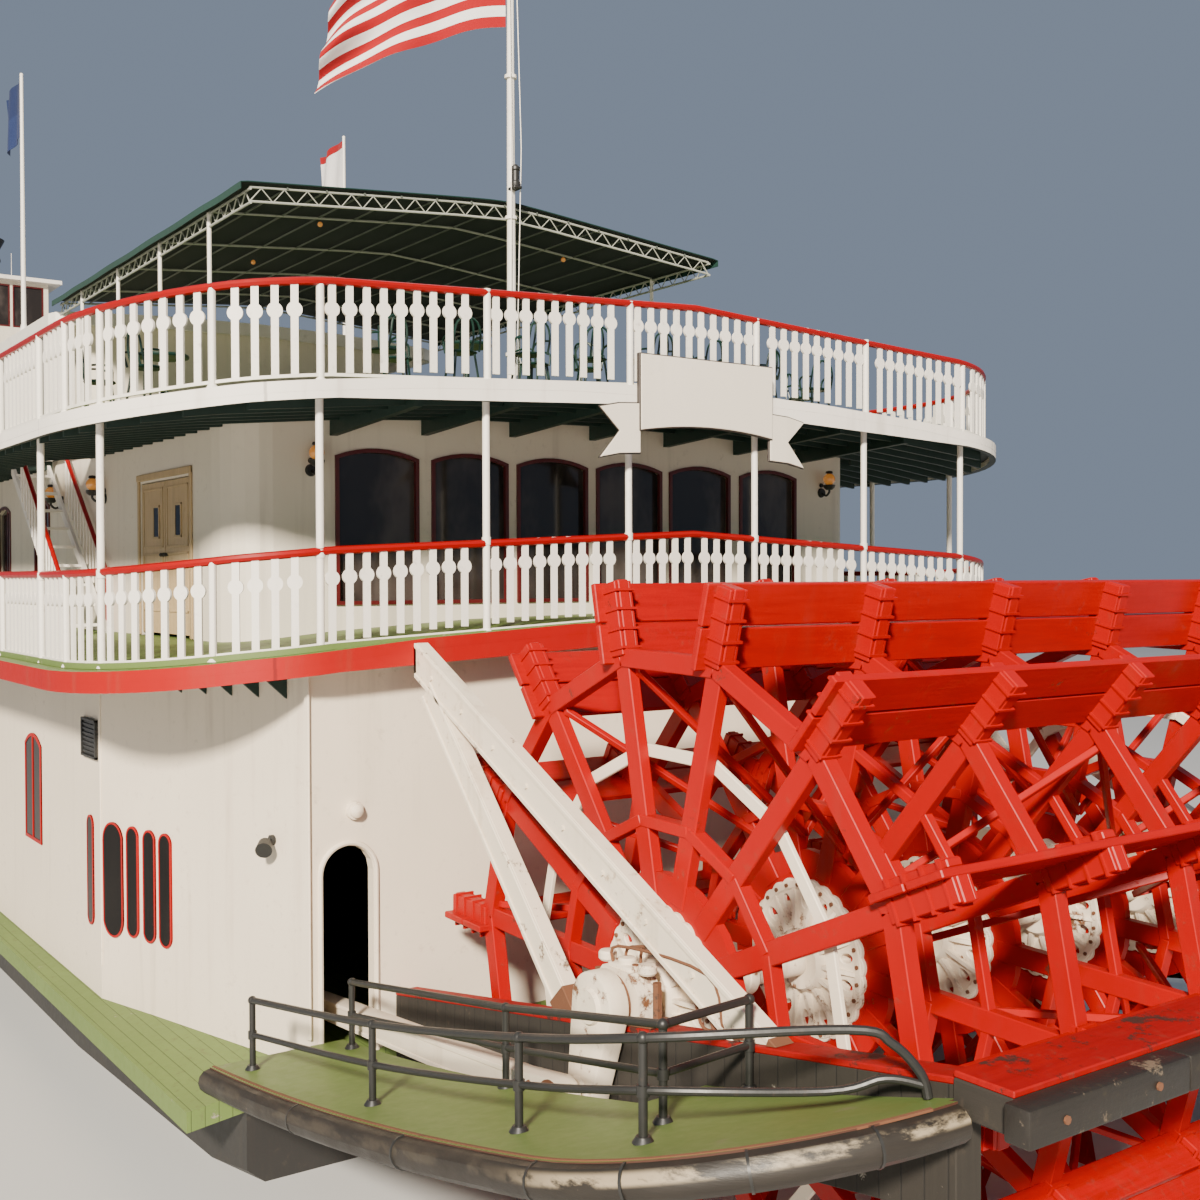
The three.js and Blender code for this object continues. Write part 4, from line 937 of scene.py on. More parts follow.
class STEAMER_OT_decks(bpy.types.Operator):
    """Models the boiler deck and the hurricane deck with smooth edges, joists and brackets"""

    bl_idname = "steamer.decks"
    bl_label = "Decks"

    def execute(self, context):
        sizes = context.scene.steamer_sizes
        for node, deck in (("boiler_deck", BOILER_DECK), ("hurricane_deck", HURRICANE_DECK)):
            z = deck["z"]
            edge = both_sides(deck_edge(deck, 0))
            plate = slab([[x, y, z - DECK_THICK] for x, y in edge], (0, 0, DECK_THICK))
            plate = cambered(sliced(plate, ys=[n * STRIP / 2 for n in range(-7, 8)]))
            port_rim = deck_edge(deck, 5.2)
            rim = ribbon([[x, y, z - deck["rim"]] for x, y in both_sides(port_rim) + port_rim[:1]],
                         10, deck["rim"] - 0.4)
            lip = pipe([[x, y, z - 3.5] for x, y in both_sides(deck_edge(deck, 3.6))], 3.4, 1, closed=True)
            if node == "hurricane_deck":
                x0, x1, y0, y1 = HATCH
                holed(plate, [block([x0, y0, 900], [x1, y1, 1200]), block([x0, -y1, 900], [x1, -y0, 1200])])
            keep(coat(node, cambered(rim), cambered(lip), plate), node + "_dressed",
                 slot="white_deck" if node == "hurricane_deck" else "red_deck", replaces=[node])
        self.joists(sizes)
        self.knees()
        return {"FINISHED"}

    def joists(self, sizes):
        """The joists under the hurricane deck: across the stern, beside the house and at the bow."""
        edge, under = DECK_HALF - 11, HURRICANE_Z - DECK_THICK
        house_aft, house_fore, beside_house, straight = 636, 6052, 538, 700
        hatch_aft, hatch_fore, hatch_wide = 1214, 1460, 76
        parts = []
        reach = deck_edge(HURRICANE_DECK, 11)
        for i in range(int(6050 / sizes.joist_spacing)):
            x = 430 + i * sizes.joist_spacing
            wide = max((y for ax, y in reach if ax <= x), default=0) if x < straight else edge
            rows = [(-wide, wide)]
            if house_aft <= x < house_fore:
                inner = beside_house + (hatch_wide if hatch_aft < x < hatch_fore else 0)
                rows = [(inner, wide), (-wide, -inner)]
            for y0, y1 in rows:
                if y1 - y0 > 10:
                    piece = block([x, y0, under - 14], [x + 6, y1, under - 0.2])
                    parts.append(cambered(sliced(piece, ys=[n * STRIP for n in range(-3, 4)])))
        for y in (-400, -270, -134, 0, 134, 270, 400):
            profile = [[408, under - 18], [408, under - 1], [638, under - 1], [638, under - 32]]
            parts.append(slab([[x, y - 5, z - drop(y)] for x, z in profile], (0, 10, 0)))
        keep(coat("beam_green", *parts), "hurricane_deck_joists", slot="white_deck")

    def knees(self):
        """The knees between the main house and the edge of the boiler deck."""
        edge, under = deck_edge(BOILER_DECK, 11), BOILER_Z - DECK_THICK - 0.3
        first, spacing, count, straight = 470, 52, 105, 700
        parts = []
        for i in range(count):
            x = first + i * spacing
            wall = house_wall(x) + 0.5
            outer = max(y for ax, y in edge if ax <= x + 2) if x < straight else DECK_HALF - 11
            profile = [[wall, 0], [outer, 0], [outer, -8], [wall + 34, -8], [wall, -42]]
            knee = slab([[x, y, under + z] for y, z in profile], (5, 0, 0))
            parts.append(cambered(sliced(knee, ys=[3 * STRIP])))
        keep(coat("beam_green", with_mirror(joined(parts))), "boiler_deck_brackets", slot="red_deck")


def arched(centre, half, bottom, top, rise, foot_rise=0.0, steps=8):
    """An upright opening with a curved top and foot, as [across, up], anticlockwise from the lower right."""
    def curve(z, size):
        points = []
        for i in range(steps + 1):
            if size < half:  # a flat arch
                share = 1 - 2 * i / steps
                points.append((centre + half * share, z - size * share ** 2))
            else:
                turn = math.pi * i / steps
                points.append((centre + half * math.cos(turn), z + size * (math.sin(turn) - 1)))
        return points
    upper = curve(top, rise)
    if foot_rise:
        lower = [(u, 2 * bottom - z) for u, z in curve(bottom, foot_rise)][::-1]
    else:
        lower = [(centre - half, bottom), (centre + half, bottom)]
    return lower + upper if foot_rise == 0 else lower[:-1] + upper[:-1]


def framed(outline, facing, at, frame_width, thick, pane_inset, frame_finish, pane_finish="glass"):
    """A window: a frame ring on the wall and its pane. facing is "x" or "y", and at is the wall."""
    def spot(u, z, depth):
        return [at + depth, u, z] if facing == "x" else [u, at + depth, z]
    middle = place(spot(*[sum(p[n] for p in outline) / len(outline) for n in (0, 1)], 0))
    ring = trace([spot(u, z, 0) for u, z in outline], closed=True)
    edit(ring)
    bpy.ops.mesh.inset(thickness=frame_width / 1000, depth=0)
    pane = bmesh.from_edit_mesh(ring.data)
    inner = min(pane.faces, key=lambda face: (face.calc_center_median() - middle).length)
    bpy.ops.mesh.select_all(action="DESELECT")
    inner.select_set(True)
    bmesh.update_edit_mesh(ring.data)
    bpy.ops.mesh.delete(type="FACE")
    leave()
    modifier(ring, "SOLIDIFY", thickness=thick / 1000, offset=0, use_even_offset=True)
    painted(ring, finish(frame_finish))
    sheet = trace([spot(u, z, pane_inset) for u, z in outline], closed=True)
    modifier(sheet, "SOLIDIFY", thickness=0.0015, offset=0)
    painted(sheet, finish(pane_finish))
    return [ring, sheet]


class STEAMER_OT_windows(bpy.types.Operator):
    """Models the window frames and panes of the three houses"""

    bl_idname = "steamer.windows"
    bl_label = "Windows"

    def execute(self, context):
        width = context.scene.steamer_sizes.window_frame
        first = 67
        outline = arched(first, 59.5, BOILER_Z + 18, BOILER_Z + 219.5, 11)
        model = joined(framed(outline, "x", SALOON_STERN, width, 6, 7, "maroon"))
        stern = copies(model, [shift(y=y - first) for y in (-338, -200, -67, 67, 200, 338)])
        keep(joined(stern), "stern_windows", slot="cream_wall")
        # name; first window, step and count; half width, foot, top and rise; wall, pane and finishes
        rows = (("saloon_windows", 1560, 290, 15, 50, BOILER_Z + 40, BOILER_Z + 190, 12,
                 SALOON_SIDE, -7, "maroon", "glass"),
                ("cabin_windows", 2150, 300, 12, 40, 1150, 1290, 10, 345, -7, "maroon", "glass"),
                ("engine_room_windows", 1225, 415, 12, 46, 440, 600, 17,
                 HOUSE["wide"], 0.9, "red_arm", "dark_glass"))
        for name, first, step, count, half, bottom, top, rise, wall, inset, coating, pane in rows:
            outline = arched(first, half + 2.5, bottom - 2, top + 1.5, rise)
            model = framed(outline, "y", wall, width, 5, inset, coating, pane)
            bar = block([first - 1.5, wall + inset - 0.5, bottom], [first + 1.5, wall + inset + 2, top])
            model = joined([*model, coat(coating, bar)])
            port = joined(copies(model, [shift(i * step) for i in range(count)]))
            keep(with_mirror(port), name, slot="cream_wall")
        narrow, broad, slit_top = 14.5, 25, 519.5
        slits = []
        for x, half, low in ((717, narrow, 376.5), (753, narrow, 376.5), (792, narrow, 376.5),
                             (839, broad, 369), (915, narrow, 372)):
            wall = house_wall(x)
            outline = arched(x, half, low, slit_top, half, half, 12)
            turn = spun(SLANT if x < HOUSE["bend"] else 0, [x, wall, 450])
            for part in framed(outline, "y", wall, 2.8, 5, 1.4, "red_arm", "dark_glass"):
                part.data.transform(turn)
                slits.append(part)
        keep(with_mirror(joined(slits)), "slit_windows", slot="cream_wall")
        pilot = []
        aft_wall, length, middle, side_wall = 4450, 420, 4660, 190

        def oblong(centre, half):
            return [(centre + u, z) for u, z in ((half, 1763), (half, 1917), (-half, 1917), (-half, 1763))]
        for n in (-1, 0, 1):
            across = joined(framed(oblong(n * 118, 54), "x", aft_wall, width, 5, 5, "maroon"))
            ahead = twin_of(across)
            ahead.data.transform(shift(length))
            side = joined(framed(oblong(middle + n * 132, 60), "y", side_wall, width, 5, -5, "maroon"))
            pilot += [across, ahead, side, mirrored(side)]
        keep(joined(pilot), "pilothouse_windows", slot="white_wall")
        return {"FINISHED"}


def on_wheel(angle, y=0.0):
    """Turns a piece drawn forward of the shaft up to its place on the wheel, and moves it across."""
    return shift(y=y) @ spun(-angle, (0, 0, SHAFT_Z), "Y")


def beside_shaft(r0, r1, v0, v1, y0, y1, edge=0.0):
    """A block from one radius to another, between two heights beside the line from the shaft."""
    return block([r0, y0, SHAFT_Z + v0], [r1, y1, SHAFT_Z + v1], edge)


def axle(x, y0, y1, radius, sides, end=None):
    """A round bar across the ship, at the height of the shaft."""
    return rod([x, y0, SHAFT_Z], [x, y1, SHAFT_Z], radius, sides, end)


class STEAMER_OT_wheel(bpy.types.Operator):
    """Models the paddle wheel: arms, rings, braces, bucket planks and their bands"""

    bl_idname = "steamer.wheel"
    bl_label = "Paddle Wheel"

    def execute(self, context):
        sizes = context.scene.steamer_sizes
        half, step = sizes.arm_width / 2, math.tau / sizes.arms
        angles = [WHEEL["phase"] + k * step for k in range(sizes.arms)]
        between = [angle + step / 2 for angle in angles]
        frames, outer, inner = WHEEL["frames"], WHEEL["radius"], WHEEL["bucket_inner"]
        face = 1 - half
        back = face - WHEEL["bucket_thick"]
        bands = (316, 334, 353, 371)
        arm = [beside_shaft(WHEEL["hub"] + 1, outer, -half, half, -6, 6, 1.0),
               beside_shaft(inner + 3, outer - 3, back - 7, back - 0.1, -8, 8, 1.0),
               beside_shaft(inner + 6, outer - 1, back, half - 1, 6, 10, 0.8),
               beside_shaft(inner + 6, outer - 1, back, half - 1, -10, -6, 0.8)]
        arm += [beside_shaft(r - 1.2, r + 1.2, back - 8.2, half + 1.4, -11.4, 11.4) for r in bands]
        parts = copies(coat("red_arm", *arm), [on_wheel(a, y) for a in angles for y in frames])

        def ring(radius, width, y0, y1, name, ys):
            apothem, reach = radius * math.cos(step / 2), radius * math.sin(step / 2)
            bar = beside_shaft(apothem - width / 2, apothem + width / 2, -reach, reach, y0, y1, 0.8)
            return copies(coat(name, bar), [on_wheel(a, y) for a in between for y in ys])

        parts += ring(308, 18, -7.6, 7.6, "red_arm", frames)
        parts += ring(155, 11, -7.2, 7.2, "red_arm", frames)
        parts += ring(220, 9, -5, 5, "red_arm", frames[1:-1])
        parts += ring(220, 12, 6.2, 11, "wall", frames[:1])
        parts += ring(220, 12, -11, -6.2, "wall", frames[-1:])
        fill = turned([[60, -4.6], [108, -4.6], [108, 4.6], [60, 4.6], [60, -4.6]], (0, 0, SHAFT_Z), 28, "Y")
        parts += copies(coat("red_arm", fill), [shift(y=y) for y in frames])
        around = [on_wheel(angle) for angle in angles]
        for a, b in ((frames[0], frames[1]), (frames[-1], frames[-2]), (0, frames[1]), (0, frames[-2])):
            end = b - math.copysign(2, b - a)
            plan = ((290, a), (299, a), (127, end), (118, end))
            brace = slab([[x, y, SHAFT_Z + half + 1] for x, y in plan], (0, 0, 7), 0.8)
            parts += copies(coat("red_arm", brace), around)
        planks = [beside_shaft(r0, r1, back, face, -WHEEL["half"], WHEEL["half"], 1.0)
                  for r0, r1 in ((inner, 341), (343, outer))]
        parts += copies(coat("red", *planks), around)
        keep(joined(parts), "paddle_wheel_dressed", body="wheel", slot="red_wheel", replaces=["paddle_wheel"])
        return {"FINISHED"}


class STEAMER_OT_shaft(bpy.types.Operator):
    """Models the wheel's shaft with its five hubs and two cranks"""

    bl_idname = "steamer.shaft"
    bl_label = "Shaft"

    def execute(self, context):
        centre = (0, 0, SHAFT_Z)
        parts = copies(self.hub(centre), [shift(y=y) for y in WHEEL["frames"]])
        parts.append(coat("cast", axle(0, -CRANK["far"], CRANK["far"], WHEEL["shaft"], 40)))
        collar = turned([[13.9, -6], [20, -6], [21, -5], [21, 5], [20, 6], [13.9, 6], [13.9, -6]],
                        centre, 32, "Y")
        parts += copies(coat("cast", collar), [shift(y=y) for y in (-91, 91, -274, 274)])
        throw, pin_end = CRANK["throw"], CRANK["pin_end"]
        boss = arc(CRANK["boss"], math.pi / 2, math.pi, 20)
        eye = arc(CRANK["eye"], -math.pi / 2, math.pi, 16, throw)
        for side, sign in SIDES.items():
            near, far = sorted((sign * CRANK["near"], sign * CRANK["far"]))
            web = slab([[x, near, SHAFT_Z + z] for x, z in boss + eye], (0, far - near, 0), 3, 2)
            made = [coat("cast", web, axle(throw, sign * 430, sign * (pin_end - 3), CRANK["pin"], 28),
                         axle(0, sign * 449, sign * 454, 17, 32, 15),
                         axle(throw, sign * 449, sign * 453, 16, 28, 14)),
                    coat("rust", axle(throw, sign * (pin_end - 3), sign * pin_end, 13, 6)),
                    coat("rust", axle(0, sign * 423.6, sign * 428.4, 25, 32))]
            parts += copies(joined(made), [on_wheel(CRANK[side])])
        keep(joined(parts), "wheel_shaft_dressed", body="wheel", slot="white_casting",
             replaces=["wheel_shaft"])
        return {"FINISHED"}

    def hub(self, centre):
        """A hub: a scalloped flange with oval holes, its barrel, bands, ribs and bolts."""
        scallops, holes, corners = 28, 14, 112
        rim = []
        for i in range(corners):
            t = math.tau * i / corners
            reach = 77.2 + 2.8 * abs(math.sin(t * scallops / 2))
            rim.append([reach * math.cos(t), -9, SHAFT_Z + reach * math.sin(t)])
        flange = slab(rim, (0, 18, 0))
        oval = slab([[58 + 8 * math.cos(t), -20, SHAFT_Z + 4.6 * math.sin(t)]
                     for t in (math.tau * i / 12 for i in range(12))], (0, 40, 0))
        holed(flange, copies(oval, [on_wheel((k + 0.5) * math.tau / holes) for k in range(holes)]))
        soften(flange, 0.9, 1, 60)
        barrel = turned([[13.9, -20], [27, -20], [31, -15], [33, -9.5], [33, 9.5], [31, 15], [27, 20],
                         [13.9, 20], [13.9, -20]], centre, 36, "Y")
        band = ((68, 8.9), (70, 10.6), (76, 10.6), (76.6, 8.9), (68, 8.9))
        bands = [turned([[r, side * y] for r, y in band], centre, 48, "Y") for side in (1, -1)]
        outer = ((31, 8.8), (71, 8.8), (69, 10.4), (31, 17))
        inner = ((31, -8.8), (31, -17), (69, -10.4), (71, -8.8))
        rib = joined([slab([[x, y, SHAFT_Z - 2] for x, y in plan], (0, 0, 4)) for plan in (outer, inner)])
        ribs = copies(rib, [on_wheel(k * math.tau / holes) for k in range(holes)])
        bolt = joined([axle(73, 10.4, 12.4, 2.1, 6), axle(73, -12.4, -10.4, 2.1, 6)])
        bolts = copies(bolt, [on_wheel((k + 0.5) * math.tau / scallops) for k in range(scallops)])
        return joined([coat("cast", flange, barrel, *bands, *ribs), coat("rust", *bolts)])


class STEAMER_OT_pitmans(bpy.types.Operator):
    """Models the two pitmans with their straps"""

    bl_idname = "steamer.pitmans"
    bl_label = "Pitmans"

    def execute(self, context):
        for side, sign in SIDES.items():
            near, far = sorted((sign * PITMAN["near"], sign * PITMAN["far"]))
            outer = sign * PITMAN["far"]
            x, z = arc(CRANK["throw"], CRANK[side], 0, 1, 0, SHAFT_Z)[0]
            neck, long, fall = PITMAN["neck"], PITMAN["long"], PITMAN["fall"]
            outline = arc(PITMAN["eye"], math.pi / 2, math.pi, 20)
            outline += [(neck, -20), (long, -fall - 11), (long, -fall + 11), (neck, 10)]
            body = slab([[x + u, near, z + v] for u, v in outline], (0, far - near, 0))
            holed(body, [rod([x, near - 5, z], [x, far + 5, z], CRANK["pin"] + 0.5, 28)])
            strap = turned([[12.5, 0], [18, 0], [18, 1.6], [12.5, 1.6], [12.5, 0]], (x, outer - 0.8, z),
                           28, "Y")
            bolts = [rod([x + u, near - 1.8, z + v], [x + u, far + 1.8, z + v], 2.6, 6)
                     for u, v in ((34, -10), (34, 6), (54, -13), (54, 5))]
            parts = [coat("wall", soften(body, 2, 2, 50)), coat("rust", strap, *bolts)]
            start, end = neck + 4, long - 4
            for v0, v1, w0, w1 in ((-20, -15, -61, -57), (5, 10, -43, -39)):
                strip = slab([[x + u, outer - sign * 0.6, z + v]
                              for u, v in ((start, v0), (end, w0), (end, w1), (start, v1))],
                             (0, sign * 2, 0), 0.5)
                parts.append(coat("wall", strip))
            keep(joined(parts), f"pitman_{side}_dressed", body=f"{side}_pitman", slot="white_casting",
                 replaces=[f"pitman_{side}"])
        return {"FINISHED"}


def strut(a, b, depth, ys, aside=0.0, from_share=0.0, to_share=1.0, edge=0.8):
    """A bar of a fantail brace from a to b in x and z, moved aside from its own line."""
    a, b = Vector(a), Vector(b)
    across = Vector((a.y - b.y, b.x - a.x)).normalized()
    start, end = a.lerp(b, from_share) + across * aside, a.lerp(b, to_share) + across * aside
    corners = [start + across * depth / 2, end + across * depth / 2, end - across * depth / 2,
               start - across * depth / 2]
    return slab([[corner.x, ys[0], corner.y] for corner in corners], (0, ys[1] - ys[0], 0), edge)


class STEAMER_OT_braces(bpy.types.Operator):
    """Models the two braces over the fantail and the fittings of the bearings"""

    bl_idname = "steamer.braces"
    bl_label = "Braces and Bearings"

    def execute(self, context):
        bars = []
        for a, b, depth in ((BRACE["foot"], BRACE["head"], 35), (BRACE["prop"], BRACE["join"], 28)):
            bars.append(coat("brace", strut(a, b, depth, (400, 416))))
            for aside in (depth / 2 - 2.5, -depth / 2 + 2.5):
                bars.append(coat("brace", strut(a, b, 5, (415.8, 418.4), aside)))
            shoe = 34 / (Vector(b) - Vector(a)).length
            bars.append(coat("rust", strut(a, b, depth + 2, (399.2, 419), 0, -0.05, shoe)))
        along = (Vector(BRACE["head"]) - Vector(BRACE["foot"])).normalized()
        for distance in range(60, 640, 72):
            spot = Vector(BRACE["foot"]) + along * distance
            bars.append(coat("wall", rod([spot.x, 415.5, spot.y], [spot.x, 418.2, spot.y], 2.6, 6)))
        brace = joined(bars)
        trimmed(brace, (0, 400, beam_top(0) + 0.4), (-BEAM["slope"], 0, -1))
        trimmed(brace, (BOILER_DECK["aft"] - 0.5, 400, 0), (1, 0, 0))
        both(brace, "fantail_brace", slot="white_casting", replaces=["fantail_brace_{}"])
        middle = (BEAM["near"] + BEAM["far"]) / 2
        iron = [upright(x, middle, beam_top(x) + 0.5, top, 4.2, 6) for x, top in ((-44, 482), (44, 476))]
        iron += [upright(x, middle, 486, 491, 3.0, 10) for x in (-12, 12)]
        plate = ((-52, 0.4), (52, 0.4), (52, 5), (-52, 5))
        iron.append(slab([[x, 393.5, beam_top(x) + lift] for x, lift in plate], (0, 29.5, 0), 0.8))
        for n, (y, out) in enumerate(((400, -70), (408, -96), (416, -120))):
            bend, end = out - 22, out - 46
            line = [[n * 9 - 9, y, 484], [n * 9 - 14, y, 505], [out, y, 516 - n * 4],
                    [bend, y, beam_top(bend) + 6], [end, y, beam_top(end) + 2.5]]
            iron.append(pipe(rounded(line, 5), 1.5, 1))
        cap = [block([-30, 397.5, 464], [30, 420.5, 474], 3, 2), block([-17, 399, 482], [17, 419, 490], 3, 2)]
        oil_cup = [[0.05, 0], [7, 0], [8.5, 2], [8.5, 7], [7, 9], [0.05, 9.6]]
        cap += [turned(oil_cup, (x, middle, 486), 20) for x in (-30, 0, 30)]
        both(joined([coat("rust", *iron), coat("cast", *cap)]), "bearing_fittings", slot="white_casting")
        return {"FINISHED"}


class STEAMER_OT_fantail(bpy.types.Operator):
    """Models the fantail: green platforms, fenders, wheel beams and the beam across the stern"""

    bl_idname = "steamer.fantail"
    bl_label = "Fantail"

    def execute(self, context):
        corner = [[EDGE_ARC["x"] - EDGE_ARC["long"] * math.sin(t),
                   EDGE_ARC["y"] + (EDGE_ARC["edge"] - EDGE_ARC["y"]) * math.cos(t)]
                  for t in (math.pi / 2 * i / 24 for i in range(25))]
        line = [[BEAM["fore"] - i * (BEAM["fore"] - EDGE_ARC["x"]) / 24, EDGE_ARC["edge"]] for i in range(24)]
        line += corner
        aft, near = BEAM["aft"], BEAM["far"]
        plan = [[BEAM["fore"], CRANK_PIT["outer"]]] + [line[0], line[24]] + corner[1:] + [
            [aft, EDGE_ARC["y"]], [aft, near - 0.5], [CRANK_PIT["aft"], near - 0.5],
            [CRANK_PIT["aft"], CRANK_PIT["outer"]]]
        plate = slab([[x, y, 0] for x, y in plan], (0, 0, FAN["thick"]))
        plate = sliced(plate, xs=range(-370, 430, 25))
        for vertex in plate.data.vertices:
            x = vertex.co.x * 1000 - SHIP_SHIFT
            vertex.co.z += (fan_z(x) - FAN["thick"]) / 1000
        trim = ribbon([[x, y - 4, fan_z(x) - 1] for x, y in line[:-1:2]], 3.0, 1.8)
        parts = [coat("platform", plate), coat("rust", trim)]
        edge = [[x, y, fan_z(x) - FENDER_DROP] for x, y in line]
        log_ends = [0, 9, 17, 25, 31, 37, 43, len(edge) - 1]
        for n, (a, b) in enumerate(zip(log_ends, log_ends[1:])):
            parts.append(coat("fender", pipe(edge[a:b + 1], 12.8 + 0.5 * (n % 2), 4)))
        for n in log_ends[1:-1]:
            before, middle, after = (Vector(point) for point in edge[n - 1:n + 2])
            step = (after - before).normalized()
            parts.append(coat("black", rod(middle - step, middle + step, 13.9, 16)))

        def along_beam(y, below_top, below_foot, wide, rounding):
            """A plank along the wheel beam, between two depths under the beam's top."""
            ends = (aft, BEAM["fore"])
            upper = [[x, y, beam_top(x) - below_top] for x in ends]
            lower = [[x, y, beam_top(x) - below_foot] for x in ends[::-1]]
            return slab(upper + lower, (0, wide, 0), rounding)
        wide = BEAM["far"] - BEAM["near"]
        parts += [coat("boards", along_beam(BEAM["near"], 5, BEAM["deep"], wide, 0.8)),
                  coat("red_plank", along_beam(394.6, 0, 5.2, 28, 1.0))]
        both(joined(parts), "fantail", slot="weathered_timber", replaces=["fantail_{}"])
        inner = block([-435.8, -426, 478], [-387, 426, 503], 1.2)
        planks = [block([-436.5, y, 503], [-387, y + 283.4, 508], 1.0) for y in (-426, -142, 142)]
        outer = [block([-457, y, 478], [-436, y + 174, 504], 2.4, 2)
                 for y in (-436, -261.5, -87, 87.5, 262)]
        bolts = [rod([-458.6, y, 491], [-456, y, 491], 3.0, 8) for y in range(-400, 401, 100)]
        keep(joined([coat("timber", inner), coat("wet_timber", *outer), coat("red_plank", *planks),
                     coat("rust", *bolts)]),
             "stern_beam_dressed", slot="weathered_timber", replaces=["stern_beam"])
        return {"FINISHED"}


EDGE_RAIL = [[380, 612], [120, 602], [-110, 592], [-249, 579]]
HOOP = [[-334, 469, 529], [-352, 446, 520], [-364, 431, 500], [-368, 428, 484]]
HOOP_LOW = [[-325, 482, 487], [-349, 450, 496], [-366, 429, 492]]
PIT_RAIL = [[380, 500], [60, 500], [-208, 530], [-185, 427]]


class STEAMER_OT_pipe_rails(bpy.types.Operator):
    """Models the black pipe rails of the fantail"""

    bl_idname = "steamer.pipe_rails"
    bl_label = "Pipe Rails"

    def execute(self, context):
        top, low, lift = 72, 36, 0.4

        def over(points, up):
            return [[x, y, fan_z(x) + up] for x, y in points]
        rows = (("edge_rail", EDGE_RAIL, rounded(over(EDGE_RAIL, top) + HOOP, 6),
                 rounded(over(EDGE_RAIL, low) + HOOP_LOW, 6)),
                ("pit_rail", PIT_RAIL, over(PIT_RAIL, top), over(PIT_RAIL, low)))
        for name, places, upper, lower in rows:
            parts = [pipe(upper, 3.4, 3), pipe(lower, 3.0, 3)]
            for x, y in places:
                z = fan_z(x)
                parts.append(upright(x, y, z + lift, z + top, 3.3, 14))
                parts.append(ball([x, y, z + top], 4.6, 14, 8))
                parts.append(upright(x, y, z + low - 4, z + low + 4, 4.6, 14))
            parts += [upright(x, y, fan_z(x) + lift, fan_z(x) + 5, 8, 14, 5) for x, y in places]
            both(coat("black", *parts), name, slot="black_metal", replaces=[name + "_{}"])
        return {"FINISHED"}


class STEAMER_OT_nameboard(bpy.types.Operator):
    """Models the blank nameboard with its ribbon ends"""

    bl_idname = "steamer.nameboard"
    bl_label = "Nameboard"

    def execute(self, context):
        at = HURRICANE_DECK["aft"] - 0.3
        foot = [[-110 + 220 * i / 16, 1025 - 9 * abs(i / 8 - 1) ** 2] for i in range(17)]
        board = foot + [[110, 1113], [-110, 1113]]
        ends = [[106, 988], [140, 986], [170, 980], [139, 1015], [170, 1044], [140, 1050], [106, 1052]]

        def plate(outline, near, far, grow):
            """An upright plate across the ship, with its outline grown."""
            low, high = [[limit(p[n] for p in outline) for n in (0, 1)] for limit in (min, max)]
            middle_y, middle_z = [(a + b) / 2 for a, b in zip(low, high)]
            more_y, more_z = [1 + 2 * grow / (b - a) for a, b in zip(low, high)]
            grown = [[far, middle_y + (y - middle_y) * more_y, middle_z + (z - middle_z) * more_z]
                     for y, z in outline]
            return slab(grown, (near - far, 0, 0), 0.5)
        tails = [ends, [[-y, z] for y, z in ends[::-1]]]
        dark = [plate(board, at, at - 6.5, 0)]
        dark += [plate(tail, at, at - 3, 0) for tail in tails]
        pale = [plate(board, at - 6.4, at - 8, -1.6)]
        pale += [plate(tail, at - 2.9, at - 5, -1.8) for tail in tails]
        keep(joined([coat("dark_edge", *dark), coat("board", *pale)]),
             "nameboard_dressed", slot="white_metal", replaces=["nameboard"])
        return {"FINISHED"}


def roof_height(y):
    """The awning's roof line: two slopes with a softly rounded ridge."""
    rounding, at_ridge, at_eave = 0.006, 0.0775, 0.9255
    share = abs(y) / AWNING["half"]
    fall = AWNING["ridge"] - AWNING["eave"]
    return AWNING["ridge"] - fall * (math.sqrt(share ** 2 + rounding) - at_ridge) / at_eave


